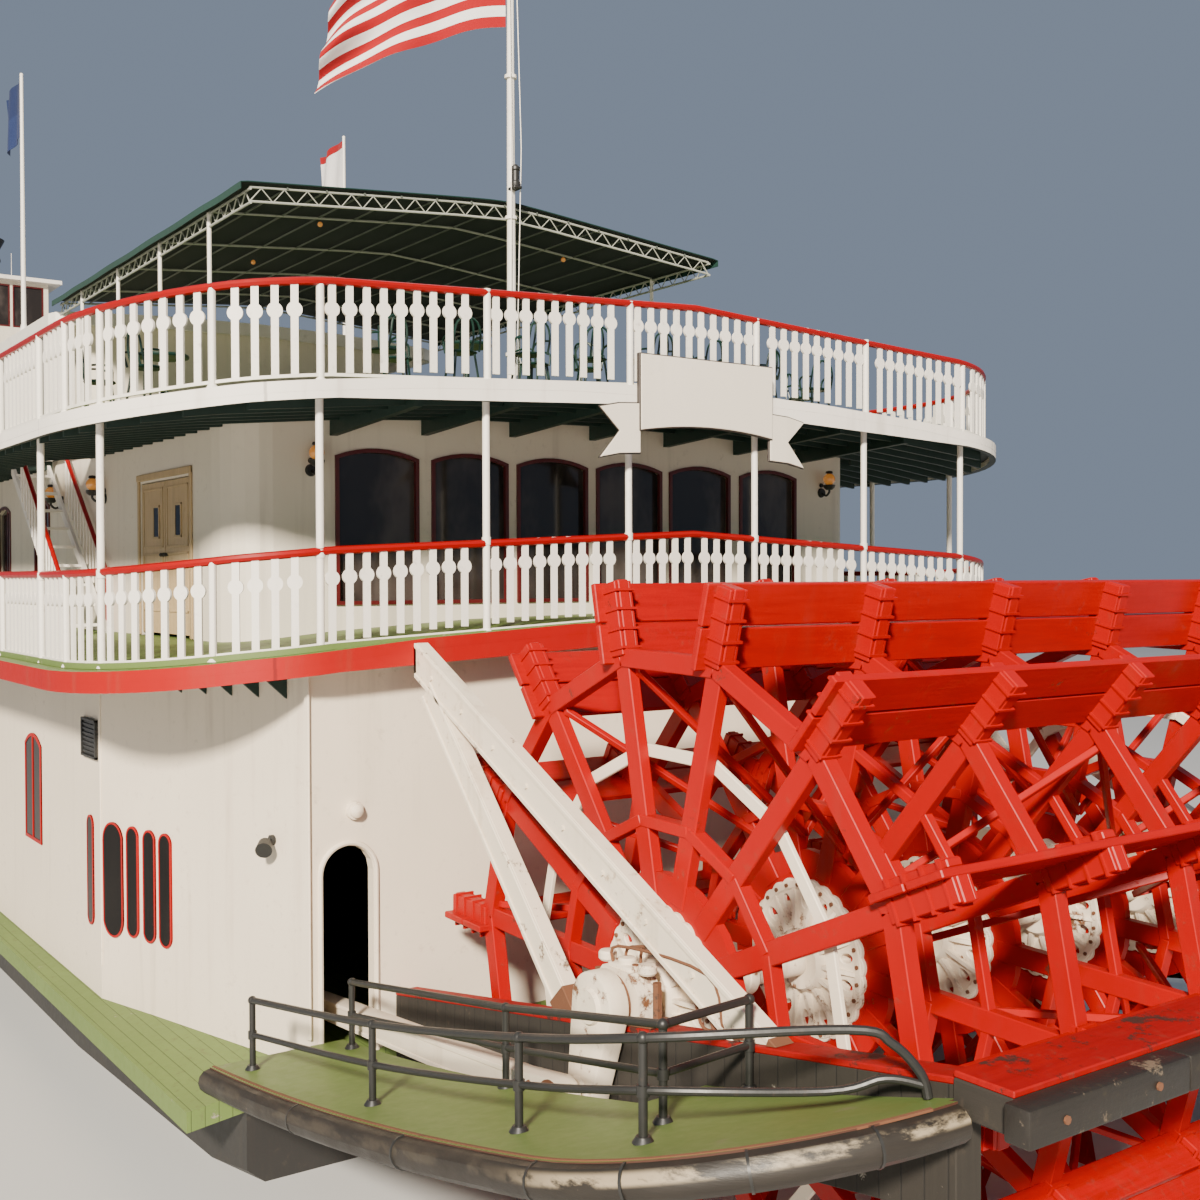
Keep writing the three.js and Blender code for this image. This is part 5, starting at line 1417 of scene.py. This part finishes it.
class STEAMER_OT_awning(bpy.types.Operator):
    """Models the stern awning: its stretched cover, trusses, purlins, posts and lamps"""

    bl_idname = "steamer.awning"
    bl_label = "Awning"

    def execute(self, context):
        aft, fore, half = AWNING["aft"], AWNING["fore"], AWNING["half"]
        edge, eave, side = 24, AWNING["eave"], AWNING["side"]
        rafters = [aft + 8, *AWNING["posts"], fore - 6]
        purlin_spacing, chord, lattice = 60, 1.9, 1.1

        def sag(x):
            """How deep the cloth sinks between two rafters."""
            for a, b in zip(rafters, rafters[1:]):
                if a < x < b:
                    return 2.2 * math.sin(math.pi * (x - a) / (b - a)) ** 2
            return 0

        def cover(along, across):
            reach = (across * 2 - 1) * (half + 10)
            x = aft + along * (fore - aft)
            over = abs(reach) - half
            if over > 0:  # the edge that hangs over the eave
                y = math.copysign(half + 0.6, reach)
                return [x, y, eave + 2 - over - sag(x) / 2]
            ripple = 0.4 + 0.6 * math.sin(abs(reach) * math.pi / 107) ** 2
            return [x, reach, roof_height(reach) + 3 - sag(x) * ripple]
        sheet = coat("canvas", cloth(104, 88, cover, 1.4))
        posts, trusses = [], []
        for y in (-side, side):
            for z in (eave - 4.5, eave - edge):
                trusses.append(rod([aft + 4, y, z], [fore - 4, y, z], chord, 10))
            count, long, foot = 60, fore - aft - 12, HURRICANE_Z - drop(y)
            zig = [[aft + 6 + long * i / count, y, eave - (5 if i % 2 else edge)] for i in range(count + 1)]
            trusses.append(pipe(zig, lattice, 1))
            for x in AWNING["posts"]:
                posts.append(upright(x, y, foot + 0.4, eave - 3, 3.4, 14))
                posts.append(upright(x, y, foot + 0.4, foot + 4, 7, 14, 5))
        for x in rafters:
            for lift in (0, -20) if x == rafters[0] else (0,):
                line = [[x, y, roof_height(y) - 3 + lift] for y in range(-side, side + 1, 83)]
                trusses.append(pipe(line, chord, 2))
        zig = []
        for i in range(49):
            y = -side + 2 * side * i / 48
            zig.append([rafters[0], y, roof_height(y) - (4 if i % 2 else 23)])
        trusses.append(pipe(zig, lattice, 1))
        purlins = []
        for y in range(-360, 361, purlin_spacing):
            z = roof_height(y) - 2.2
            purlins.append(rod([aft + 4, y, z], [fore - 4, y, z], 1.5, 8))
        lamps = [ball([x, y, roof_height(y) - 9], 4.2, 14, 8)
                 for x, y in ((1054, 231), (1044, -223), (1372, 217), (1372, -217))]
        # the trusses' grey finish is painted shade; the posts keep the frame's white
        made = joined([coat("white", *posts), coat("painted_shade_truss", *trusses), coat("grey", *purlins),
                       coat("globe", *lamps)])
        keep(made, "awning_frame_dressed", slot="white_metal", replaces=["awning_frame"])
        keep(sheet, "awning_cover_dressed", slot="canvas", replaces=["awning_cover"])
        return {"FINISHED"}


class STEAMER_OT_flags(bpy.types.Operator):
    """Models the staffs, their flags of cloth, the stern lantern and the halyards"""

    bl_idname = "steamer.flags"
    bl_label = "Flags"

    def execute(self, context):
        x, top, foot = 856, 1905, HURRICANE_Z + 0.4
        pole = [upright(x, 0, foot, top - 6, 7.6, 24, 4.8), upright(x, 0, foot, HURRICANE_Z + 30, 16, 24, 9),
                ball([x, 0, top - 5], 5, 16, 10)]
        pole += [turned([[0.05, 0], [9.5, 0], [9.5, 5], [0.05, 5]], (x, 0, z), 20)
                 for z in (1180, 1392, 1610)]
        profile = [[0.05, 0], [7, 0], [7.6, 3], [7.6, 7], [6, 9], [6, 24], [7.6, 26], [7.2, 30], [3, 34],
                   [0.05, 34]]
        lantern = coat("black", block([x - 22, -7, 1436], [x - 2, 7, 1440], 0.8),
                       turned(profile, (x - 13, 0, 1440), 20))
        for sign in (-1, 1):
            halyard = [[x - 5, sign * 5, top - 16], [x - 16, sign * 9, 1500], [x - 7, sign * 5, 1150]]
            pole.append(pipe(halyard, 0.7, 1))
        keep(joined([coat("white", *pole), lantern]), "stern_staff_dressed", slot="white_metal",
             replaces=["stern_staff"])

        def waving(root, reach, low, tall, fall, waves, swell, start, gather=0.0, fold=0.0):
            """The shape of a flag that waves, sinks and folds more towards its free edge.

            It stands from root and low, is reach long and tall high, and falls by fall. It has so
            many waves, each swell deep, from the phase start on; gather and fold draw its end up.
            """
            ahead = Vector(reach).normalized()
            side = Vector((-ahead.y, ahead.x))
            span = Vector(reach).length

            def at(along, up):
                grown = min(1.0, 0.15 + along * 1.4)
                pull = along ** 2
                wave = swell * grown * math.sin(waves * along * math.tau + 1.9 * up + start)
                wave += fold * pull * math.sin(2.3 * math.tau * up + 3.0 * along)
                short = 0.03 * along + 0.1 * up * pull * (gather > 0)
                spot = Vector(root) + ahead * span * along * (1 - short) + side * wave
                dip = fall * along ** 1.5 + 3.5 * grown * math.sin(waves * along * math.tau * 0.8 + 2.2)
                return [spot.x, spot.y, low + tall * up * (1 - gather * pull) - dip]
            return at
        thick, smooth = 1.0, 80
        wave = waving((854, 10), (158, 256), 1687, 214, 108, 2.3, 9, 0.0, 0.25, 15)
        stern = coat("flag", cloth(72, 52, wave, thick))
        keep(stern, "stern_flag_cloth", slot="striped_cloth", replaces=["stern_flag"], smooth=smooth)
        x, out, top, foot = 2300, 390, 1961, TEXAS_ROOF_Z - drop(390) + 0.4
        for side, name, slot, swell in (("port", "navy", "navy_cloth", 7),
                                        ("starboard", "pale_flag", "white_wall", 6)):
            y = SIDES[side] * out
            staff = f"roof_staff_{side}"
            pole = coat("white", upright(x, y, foot, top, 5.6, 20, 3.6),
                        upright(x, y, foot, foot + 34, 13, 20, 6), ball([x, y, top], 4, 14, 8))
            keep(pole, staff + "_dressed", slot="white_metal", replaces=[staff])
            wave = waving((x + 6, y), (144, 0), 1826, 128, 12, 1.6, swell, 0.6)
            piece = coat(name, cloth(36, 30, wave, thick))
            keep(piece, f"roof_flag_{side}_cloth", slot=slot, replaces=[f"roof_flag_{side}"], smooth=smooth)
        return {"FINISHED"}


STACK_X, STACK_Y = 6050, 290
STACK_PROFILE = [[0.05, 0], [62, 0], [66, 4], [66, 10], [62, 14], [62, 60], [60, 62], [60, 1250],
                 [63, 1252], [76, 1262], [77, 1268], [76, 1274], [60, 1286], [62, 1300], [74, 1322],
                 [92, 1356], [94, 1362], [88, 1365], [84, 1362], [66, 1326], [52, 1300], [52, 20],
                 [0.05, 20]]


class STEAMER_OT_roof(bpy.types.Operator):
    """Models the stacks and the fittings of the upper roofs"""

    bl_idname = "steamer.roof"
    bl_label = "Stacks and Roof Fittings"

    def execute(self, context):
        foot = HURRICANE_Z - drop(228) + 0.4
        band = [[59.8, 0], [61.6, 1], [61.6, 7], [59.8, 8], [59.8, 0]]
        bands = [turned(band, (STACK_X, STACK_Y, foot + z), 40) for z in (300, 560, 820, 1080)]
        stack = coat("black", turned(STACK_PROFILE, (STACK_X, STACK_Y, foot), 40), *bands)
        both(stack, "stack_smooth", slot="black_metal", replaces=["stack_{}"])
        stays = []
        for sign in SIDES.values():
            for x, y, deck in ((5560, 415, TEXAS_ROOF_Z), (6480, 560, HURRICANE_Z)):
                ends = [[STACK_X, sign * 352, foot + 1120], [x, sign * y, deck - drop(y) + 1]]
                stays.append(pipe(ends, 1.2, 1))
        stays.append(rod([STACK_X, -228, foot + 1150], [STACK_X, 228, foot + 1150], 4, 12))
        keep(coat("black", *stays), "stack_stays", slot="black_metal")
        masts = []
        for x, y, top in ((4470, 150, 2140), (4470, 60, 2230), (4850, -150, 2120)):
            masts += [upright(x, y, 1958, top, 1.6, 8, 0.8), upright(x, y, 1950, 1966, 5, 12, 3)]
        masts += [upright(4660, 0, 1959, 2030, 6, 14, 4), block([4560, -12, 2030], [4760, 12, 2044], 4, 2)]
        masts += [upright(4900, y, 1952, 1975, 9, 16, 12) for y in (-110, 110)]
        keep(coat("white", *masts), "pilothouse_fittings", slot="white_wall")
        return {"FINISHED"}


class STEAMER_OT_lamps(bpy.types.Operator):
    """Models the wall lamps of the boiler deck"""

    bl_idname = "steamer.lamps"
    bl_label = "Wall Lamps"

    def execute(self, context):
        iron = [rod([0, 0, -4], [-4, 0, -4], 8, 20, 6.5), rod([0, 0, 8], [-3, 0, 8], 4, 14, 3),
                pipe(rounded([[-2, 0, -4], [-12, 0, -9], [-19, 0, -4], [-19, 0, 1]], 5), 1.8, 2),
                turned([[0.05, 0], [5, 0], [8.5, 3], [10, 7], [9.2, 8], [0.05, 8]], (-19, 0, 0), 20),
                turned([[0.05, 0], [3, 0], [6, 2], [5, 5], [0.05, 6]], (-19, 0, 25), 16)]
        globe = coat("globe", ball([-19, 0, 17], 9.6, 20, 12))
        lamp = joined([coat("black", *iron), globe])
        aft = [shift(SALOON_STERN + 0.5, y, 975) for y in (-454, 430)]
        beside = [shift(x, SALOON_SIDE + 0.5, 962) @ spun(-math.pi / 2, (0, 0, 0))
                  for x in (1175, 1420, 2865, 4315, 5475)]
        twin = twin_of(lamp)
        port = joined(copies(lamp, beside))
        keep(joined(copies(twin, aft) + [mirrored(port), port]), "wall_lamps", slot="black_metal")
        return {"FINISHED"}


class STEAMER_OT_doors(bpy.types.Operator):
    """Models the frames of the double doors and the trim on their leaves"""

    bl_idname = "steamer.doors"
    bl_label = "Doors"

    def execute(self, context):
        foot, head, aft, fore, wall = BOILER_Z - drop(SALOON_SIDE) + 1, BOILER_Z + 187, 782, 1008, 532.2
        strips = [block([aft, wall, foot], [aft + 7.5, 535.2, head + 10], 0.8),
                  block([fore - 7.5, wall, foot], [fore, 535.2, head + 10], 0.8),
                  block([aft, wall, head + 3], [fore, 536.4, head + 12], 0.8)]
        keep(with_mirror(coat("door", *strips)), "door_frames", slot="door_wood")
        for leaf, x0, middle, knob in (("aft", 793, 840, 886), ("fore", 895, 931, 904)):
            x1 = x0 + 102

            def panel_bar(x, z, end_x, end_z):
                return block([x, 531.3, z], [end_x, 532.6, end_z], 0.4)

            def window_bar(u, z, end_u, end_z):
                return block([middle + u, 531.3, z], [middle + end_u, 533.2, end_z], 0.4)
            trim = [panel_bar(x0 + 8, z, x1 - 8, z + 3) for z in (790, 868, 878, 958)]
            trim += [panel_bar(x, z0, x + 3, z1)
                     for x in (x0 + 8, x1 - 11) for z0, z1 in ((790, 871), (878, 961))]
            trim += [window_bar(-13.5, 890.5, -10.5, 936.5), window_bar(10.5, 890.5, 13.5, 936.5),
                     window_bar(-13.5, 933.5, 13.5, 936.5), window_bar(-13.5, 890.5, 13.5, 893.5)]
            window = block([middle - 11, 531.2, 893], [middle + 11, 532.4, 934], 0.5)
            handle = [ball([knob, 535, 868], 2.6, 12, 8), rod([knob, 531, 868], [knob, 534, 868], 3.4, 12, 2)]
            made = joined([coat("door", *trim), coat("dark_glass", window), coat("black", *handle)])
            both(made, f"door_trim_{leaf}", body="{}_" + leaf + "_leaf", slot="door_wood")
        return {"FINISHED"}


class STEAMER_OT_house_fittings(bpy.types.Operator):
    """Models the fittings of the main house: arch trims, vent, floodlight, white lamp and corner strips"""

    bl_idname = "steamer.house_fittings"
    bl_label = "House Fittings"

    def execute(self, context):
        aft, arch_y, arch_z, arch_radius = 431.6, 479, 505, 34
        arch = [(arch_y + arch_radius, 300), *arc(arch_radius, 0, math.pi, 20, arch_y, arch_z),
                (arch_y - arch_radius, 300)]
        trim = pipe([[aft - 0.5, y, z] for y, z in arch], 3.0, 2)
        dome = turned([[0.05, -3], [4, -3.5], [7.4, -6], [8, -10], [10, -10.5], [10.5, -13], [10.5, -16],
                       [0.05, -16]], (0, 0, 0), 24)
        dome.data.transform(spun(-math.pi / 2, (0, 0, 0), "Y"))
        dome.data.transform(shift(aft - 16, 472, 575))
        wall = HOUSE["wide"] + 0.2
        vent = [block([880, wall, 600], [940, wall + 2.4, 646], 0.8)]
        vent += [block([882, 629, 603 + i * 6], [938, 632.2, 606 + i * 6], 0.3) for i in range(7)]
        vent += [block([x0, wall, z0], [x1, 633.4, z1], 0.5)
                 for x0, x1, z0, z1 in ((876, 944, 597, 600.5), (876, 944, 645.5, 649),
                                        (876, 880, 597, 649), (940, 944, 597, 649))]
        x = 498
        wall = house_wall(x)
        lamp = [rod([x, wall - 1, 539], [x, wall + 4, 539], 6, 16),
                rod([x, wall + 3, 539], [x - 6, wall + 12, 536], 2, 10),
                rod([x - 2, wall + 10, 536], [x - 14, wall + 17, 531], 8, 20, 9.5)]
        aft_strip = block([428, 526, 326], [436, 529, 752], 1)
        aft_strip.data.transform(spun(SLANT, (HOUSE["aft"], HOUSE["narrow"], 400)))
        bend_strip = block([868, 626.4, 326], [876, 629.2, 734], 1)
        port = joined([coat("wall", trim), coat("cast", dome), coat("black", *vent), coat("black", *lamp),
                       coat("wall", aft_strip, bend_strip)])
        keep(with_mirror(port), "main_house_fittings", slot="cream_wall")
        return {"FINISHED"}


class STEAMER_OT_stair_rails(bpy.types.Operator):
    """Models the red hand rails of the two stairs"""

    bl_idname = "steamer.stair_rails"
    bl_label = "Stair Rails"

    def execute(self, context):
        foot = BOILER_Z - drop(607) + 8
        slope = (HURRICANE_Z - BOILER_Z - 22) / 320
        start, end, top, spacing = 1134, 1372, 82, 17
        rails, sticks = [], []
        for y in (541.5, 610.5):
            def at(x, up):
                return [x, y, foot + (x - 1130) * slope + up]
            rails.append(rod(at(start, top), at(end, top), 3.4, 14))
            sticks += [rod(at(x, 6), at(x, top - 2), 1.8, 8) for x in range(start + 8, end, spacing)]
            rails.append(rod(at(start, -2), at(start, top + 6), 4.0, 14))
        port = joined([coat("red_rail", *rails), coat("white", *sticks)])
        keep(with_mirror(port), "stair_hand_rails", slot="white_metal")
        return {"FINISHED"}


class STEAMER_OT_chairs(bpy.types.Operator):
    """Models the chairs and tables behind the upper rail at the stern"""

    bl_idname = "steamer.chairs"
    bl_label = "Chairs"

    def execute(self, context):
        origin, bar = (0, 0, 0), 1.4
        chair = []
        for w in (17, 8):
            hoop = [[15, -w, 44], [20, -w, 62], [21, -w * 0.75, 78], [22, 0, 84], [21, w * 0.75, 78],
                    [20, w, 62], [15, w, 44]]
            chair.append(pipe(rounded(hoop, 3), bar, 1))
        for side in (-1, 1):
            arm = [[19, side * 17, 61], [0, side * 20, 63], [-12, side * 19, 59], [-13, side * 16, 44]]
            chair.append(pipe(rounded(arm, 3), bar, 1))
        seat = [[0.05, 42.4], [18, 42.4], [19.6, 44], [18, 45.6], [0.05, 45.6]]
        chair.append(turned(seat, origin, 16))
        chair += [rod([12 * u, 12 * v, 43], [17 * u, 17 * v, 0.4], 1.5, 6) for u in (-1, 1) for v in (-1, 1)]
        top = [[0.05, 62], [31, 62], [32, 64], [31, 66], [0.05, 66]]
        foot = [[0.05, 0.4], [20, 0.4], [20, 3], [3, 7], [2.4, 62], [0.05, 62]]
        table = joined([turned(top, origin, 28), turned(foot, origin, 16)])
        # x, y and turn in radians
        chairs = [(492, 400, 3.4), (486, 300, 3.0), (560, 350, 1.2), (482, 205, 3.3), (556, 150, 0.4),
                  (480, 110, 2.9), (480, 10, 3.2), (560, 60, -0.5), (484, -90, 3.0), (560, -150, 0.8),
                  (488, -190, 3.4), (494, -300, 2.9), (566, -340, 0.2), (620, 640, 1.9), (760, 655, 1.4)]
        tables = [(556, 252, 0), (556, -45, 0), (566, -250, 0), (690, 600, 0)]

        def spots(rows):
            return [shift(x, y, HURRICANE_Z - drop(y)) @ spun(turn, origin) for x, y, turn in rows]
        made = copies(joined(chair), spots(chairs)) + copies(table, spots(tables))
        keep(coat("chair", *made), "stern_chairs", slot="black_metal")
        return {"FINISHED"}


class STEAMER_OT_foredeck(bpy.types.Operator):
    """Models the capstan and the smooth jackstaff"""

    bl_idname = "steamer.foredeck"
    bl_label = "Foredeck"

    def execute(self, context):
        x, low, whelps = 7200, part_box("capstan")[0].z * 1000, 8
        profile = [[0.05, 0], [34, 0], [34, 5], [31, 7], [19, 13], [15.5, 24], [15, 40], [18, 50], [22, 56],
                   [26, 60], [26.6, 65], [26, 70], [22, 72], [0.05, 74]]
        outline = ((13, 14), (23, 14), (19, 40), (25, 56), (13, 56))
        whelp = slab([[x + u, -1.6, low + z] for u, z in outline], (0, 3.2, 0))
        around = [spun(k * math.tau / whelps, (x, 0, low)) for k in range(whelps)]
        capstan = coat("black", turned(profile, (x, 0, low), 36), *copies(whelp, around))
        keep(capstan, "capstan_dressed", slot="black_metal", replaces=["capstan"])
        x, low, top = 7480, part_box("jackstaff")[0].z * 1000, 1494
        pole = coat("white", upright(x, 0, low, top, 7, 20, 4.2), upright(x, 0, low, low + 32, 15, 20, 7),
                    ball([x, 0, top - 1], 6.5, 16, 10))
        keep(pole, "jackstaff_dressed", slot="white_metal", replaces=["jackstaff"])
        return {"FINISHED"}


# name, place, size in metres, power in watts, colour
LIGHTS = (("key", (-12.1, 8.8, 7.05), 1.3, 6300, (1.0, 0.9, 0.76)),
          ("fill", (-4.0, 9.0, 5.0), 7.0, 40, (0.9, 0.95, 1.0)),
          ("far", (6.0, -7.0, 7.0), 7.0, 110, (1.0, 1.0, 1.0)))
# Angles in degrees, focus and frame in pixels of the photograph
CAMERA = {"place": (-4.7621, 1.1476, 0.8356), "yaw": 35.234, "pitch": -0.939, "roll": -0.181,
          "focus": 1396.58, "frame": 1200}


class STEAMER_OT_stage(bpy.types.Operator):
    """Lays the pale floor at the waterline and sets the light and the camera"""

    bl_idname = "steamer.stage"
    bl_label = "Stage"

    def execute(self, context):
        bpy.ops.object.select_all(action="DESELECT")
        bpy.ops.mesh.primitive_plane_add(size=60, location=(0, 0, WATERLINE))
        floor = bpy.context.object
        floor.name = "floor"
        bpy.ops.object.transform_apply()
        made = Finish("pale_floor")
        tone = made.mixed(made.noise(0.6), (0.5, 0.5, 0.49, 1.0), (0.56, 0.56, 0.55, 1.0))
        painted(floor, made.done(tone, 0.7))
        world = bpy.data.worlds.new("studio")
        context.scene.world = world
        world.use_nodes = True
        colour, strength = world.node_tree.nodes["Background"].inputs[:2]
        colour.default_value = (0.62, 0.76, 1.0, 1.0)
        strength.default_value = 0.32
        for name, spot, size, power, colour in LIGHTS:
            bpy.ops.object.light_add(type="AREA", location=spot)
            light = bpy.context.object
            light.name = name
            light.data.size = size
            light.data.energy = power
            light.data.color = colour
            aim = Vector((-3.3, 0, 0.7)) - Vector(spot)
            light.rotation_euler = aim.to_track_quat("-Z", "Y").to_euler()
        camera_data = bpy.data.cameras.new("camera")
        camera = bpy.data.objects.new("camera", camera_data)
        context.scene.collection.objects.link(camera)
        camera_data.sensor_width = 36
        camera_data.lens = 36 * CAMERA["focus"] / CAMERA["frame"]
        camera_data.clip_start = 0.01
        yaw, pitch, roll = (math.radians(CAMERA[name]) for name in ("yaw", "pitch", "roll"))
        ahead = Vector((math.cos(pitch) * math.cos(yaw), -math.cos(pitch) * math.sin(yaw), math.sin(pitch)))
        right = ahead.cross(Vector((0, 0, 1))).normalized()
        up = right.cross(ahead)
        side = right * math.cos(roll) + up * math.sin(roll)
        top = up * math.cos(roll) - right * math.sin(roll)
        turn = Matrix((side, top, -ahead)).transposed().to_4x4()
        camera.matrix_world = Matrix.Translation(CAMERA["place"]) @ turn
        context.scene.camera = camera
        return {"FINISHED"}


PIECES = [
    STEAMER_OT_frame_finishes, STEAMER_OT_decks, STEAMER_OT_railings, STEAMER_OT_windows, STEAMER_OT_wheel,
    STEAMER_OT_shaft, STEAMER_OT_pitmans, STEAMER_OT_braces, STEAMER_OT_fantail, STEAMER_OT_pipe_rails,
    STEAMER_OT_nameboard, STEAMER_OT_awning, STEAMER_OT_flags, STEAMER_OT_roof, STEAMER_OT_lamps,
    STEAMER_OT_doors, STEAMER_OT_house_fittings, STEAMER_OT_stair_rails, STEAMER_OT_chairs,
    STEAMER_OT_foredeck, STEAMER_OT_stage,
]


class STEAMER_PT_pieces(bpy.types.Panel):
    """Lists the operators that model the ship"""

    bl_idname = "STEAMER_PT_pieces"
    bl_label = "Paddle Steamer"
    bl_space_type = "VIEW_3D"
    bl_region_type = "UI"
    bl_category = "Steamer"

    def draw(self, context):
        column = self.layout.column(align=True)
        for piece in PIECES:
            column.operator(piece.bl_idname)
        for group in (context.scene.steamer_sizes, context.scene.steamer_colours):
            box = self.layout.box()
            for name in group.__annotations__:
                box.prop(group, name)


CLASSES = [SteamerSizes, SteamerColours, *PIECES, STEAMER_PT_pieces]


def register():
    for each in CLASSES:
        bpy.utils.register_class(each)
    bpy.types.Scene.steamer_sizes = PointerProperty(type=SteamerSizes)
    bpy.types.Scene.steamer_colours = PointerProperty(type=SteamerColours)


def unregister():
    del bpy.types.Scene.steamer_sizes
    del bpy.types.Scene.steamer_colours
    for each in reversed(CLASSES):
        bpy.utils.unregister_class(each)


def main():
    """Models the ship piece by piece."""
    register()
    for piece in PIECES:
        group, name = piece.bl_idname.split(".")
        getattr(getattr(bpy.ops, group), name)()


if __name__ == "__main__":
    main()
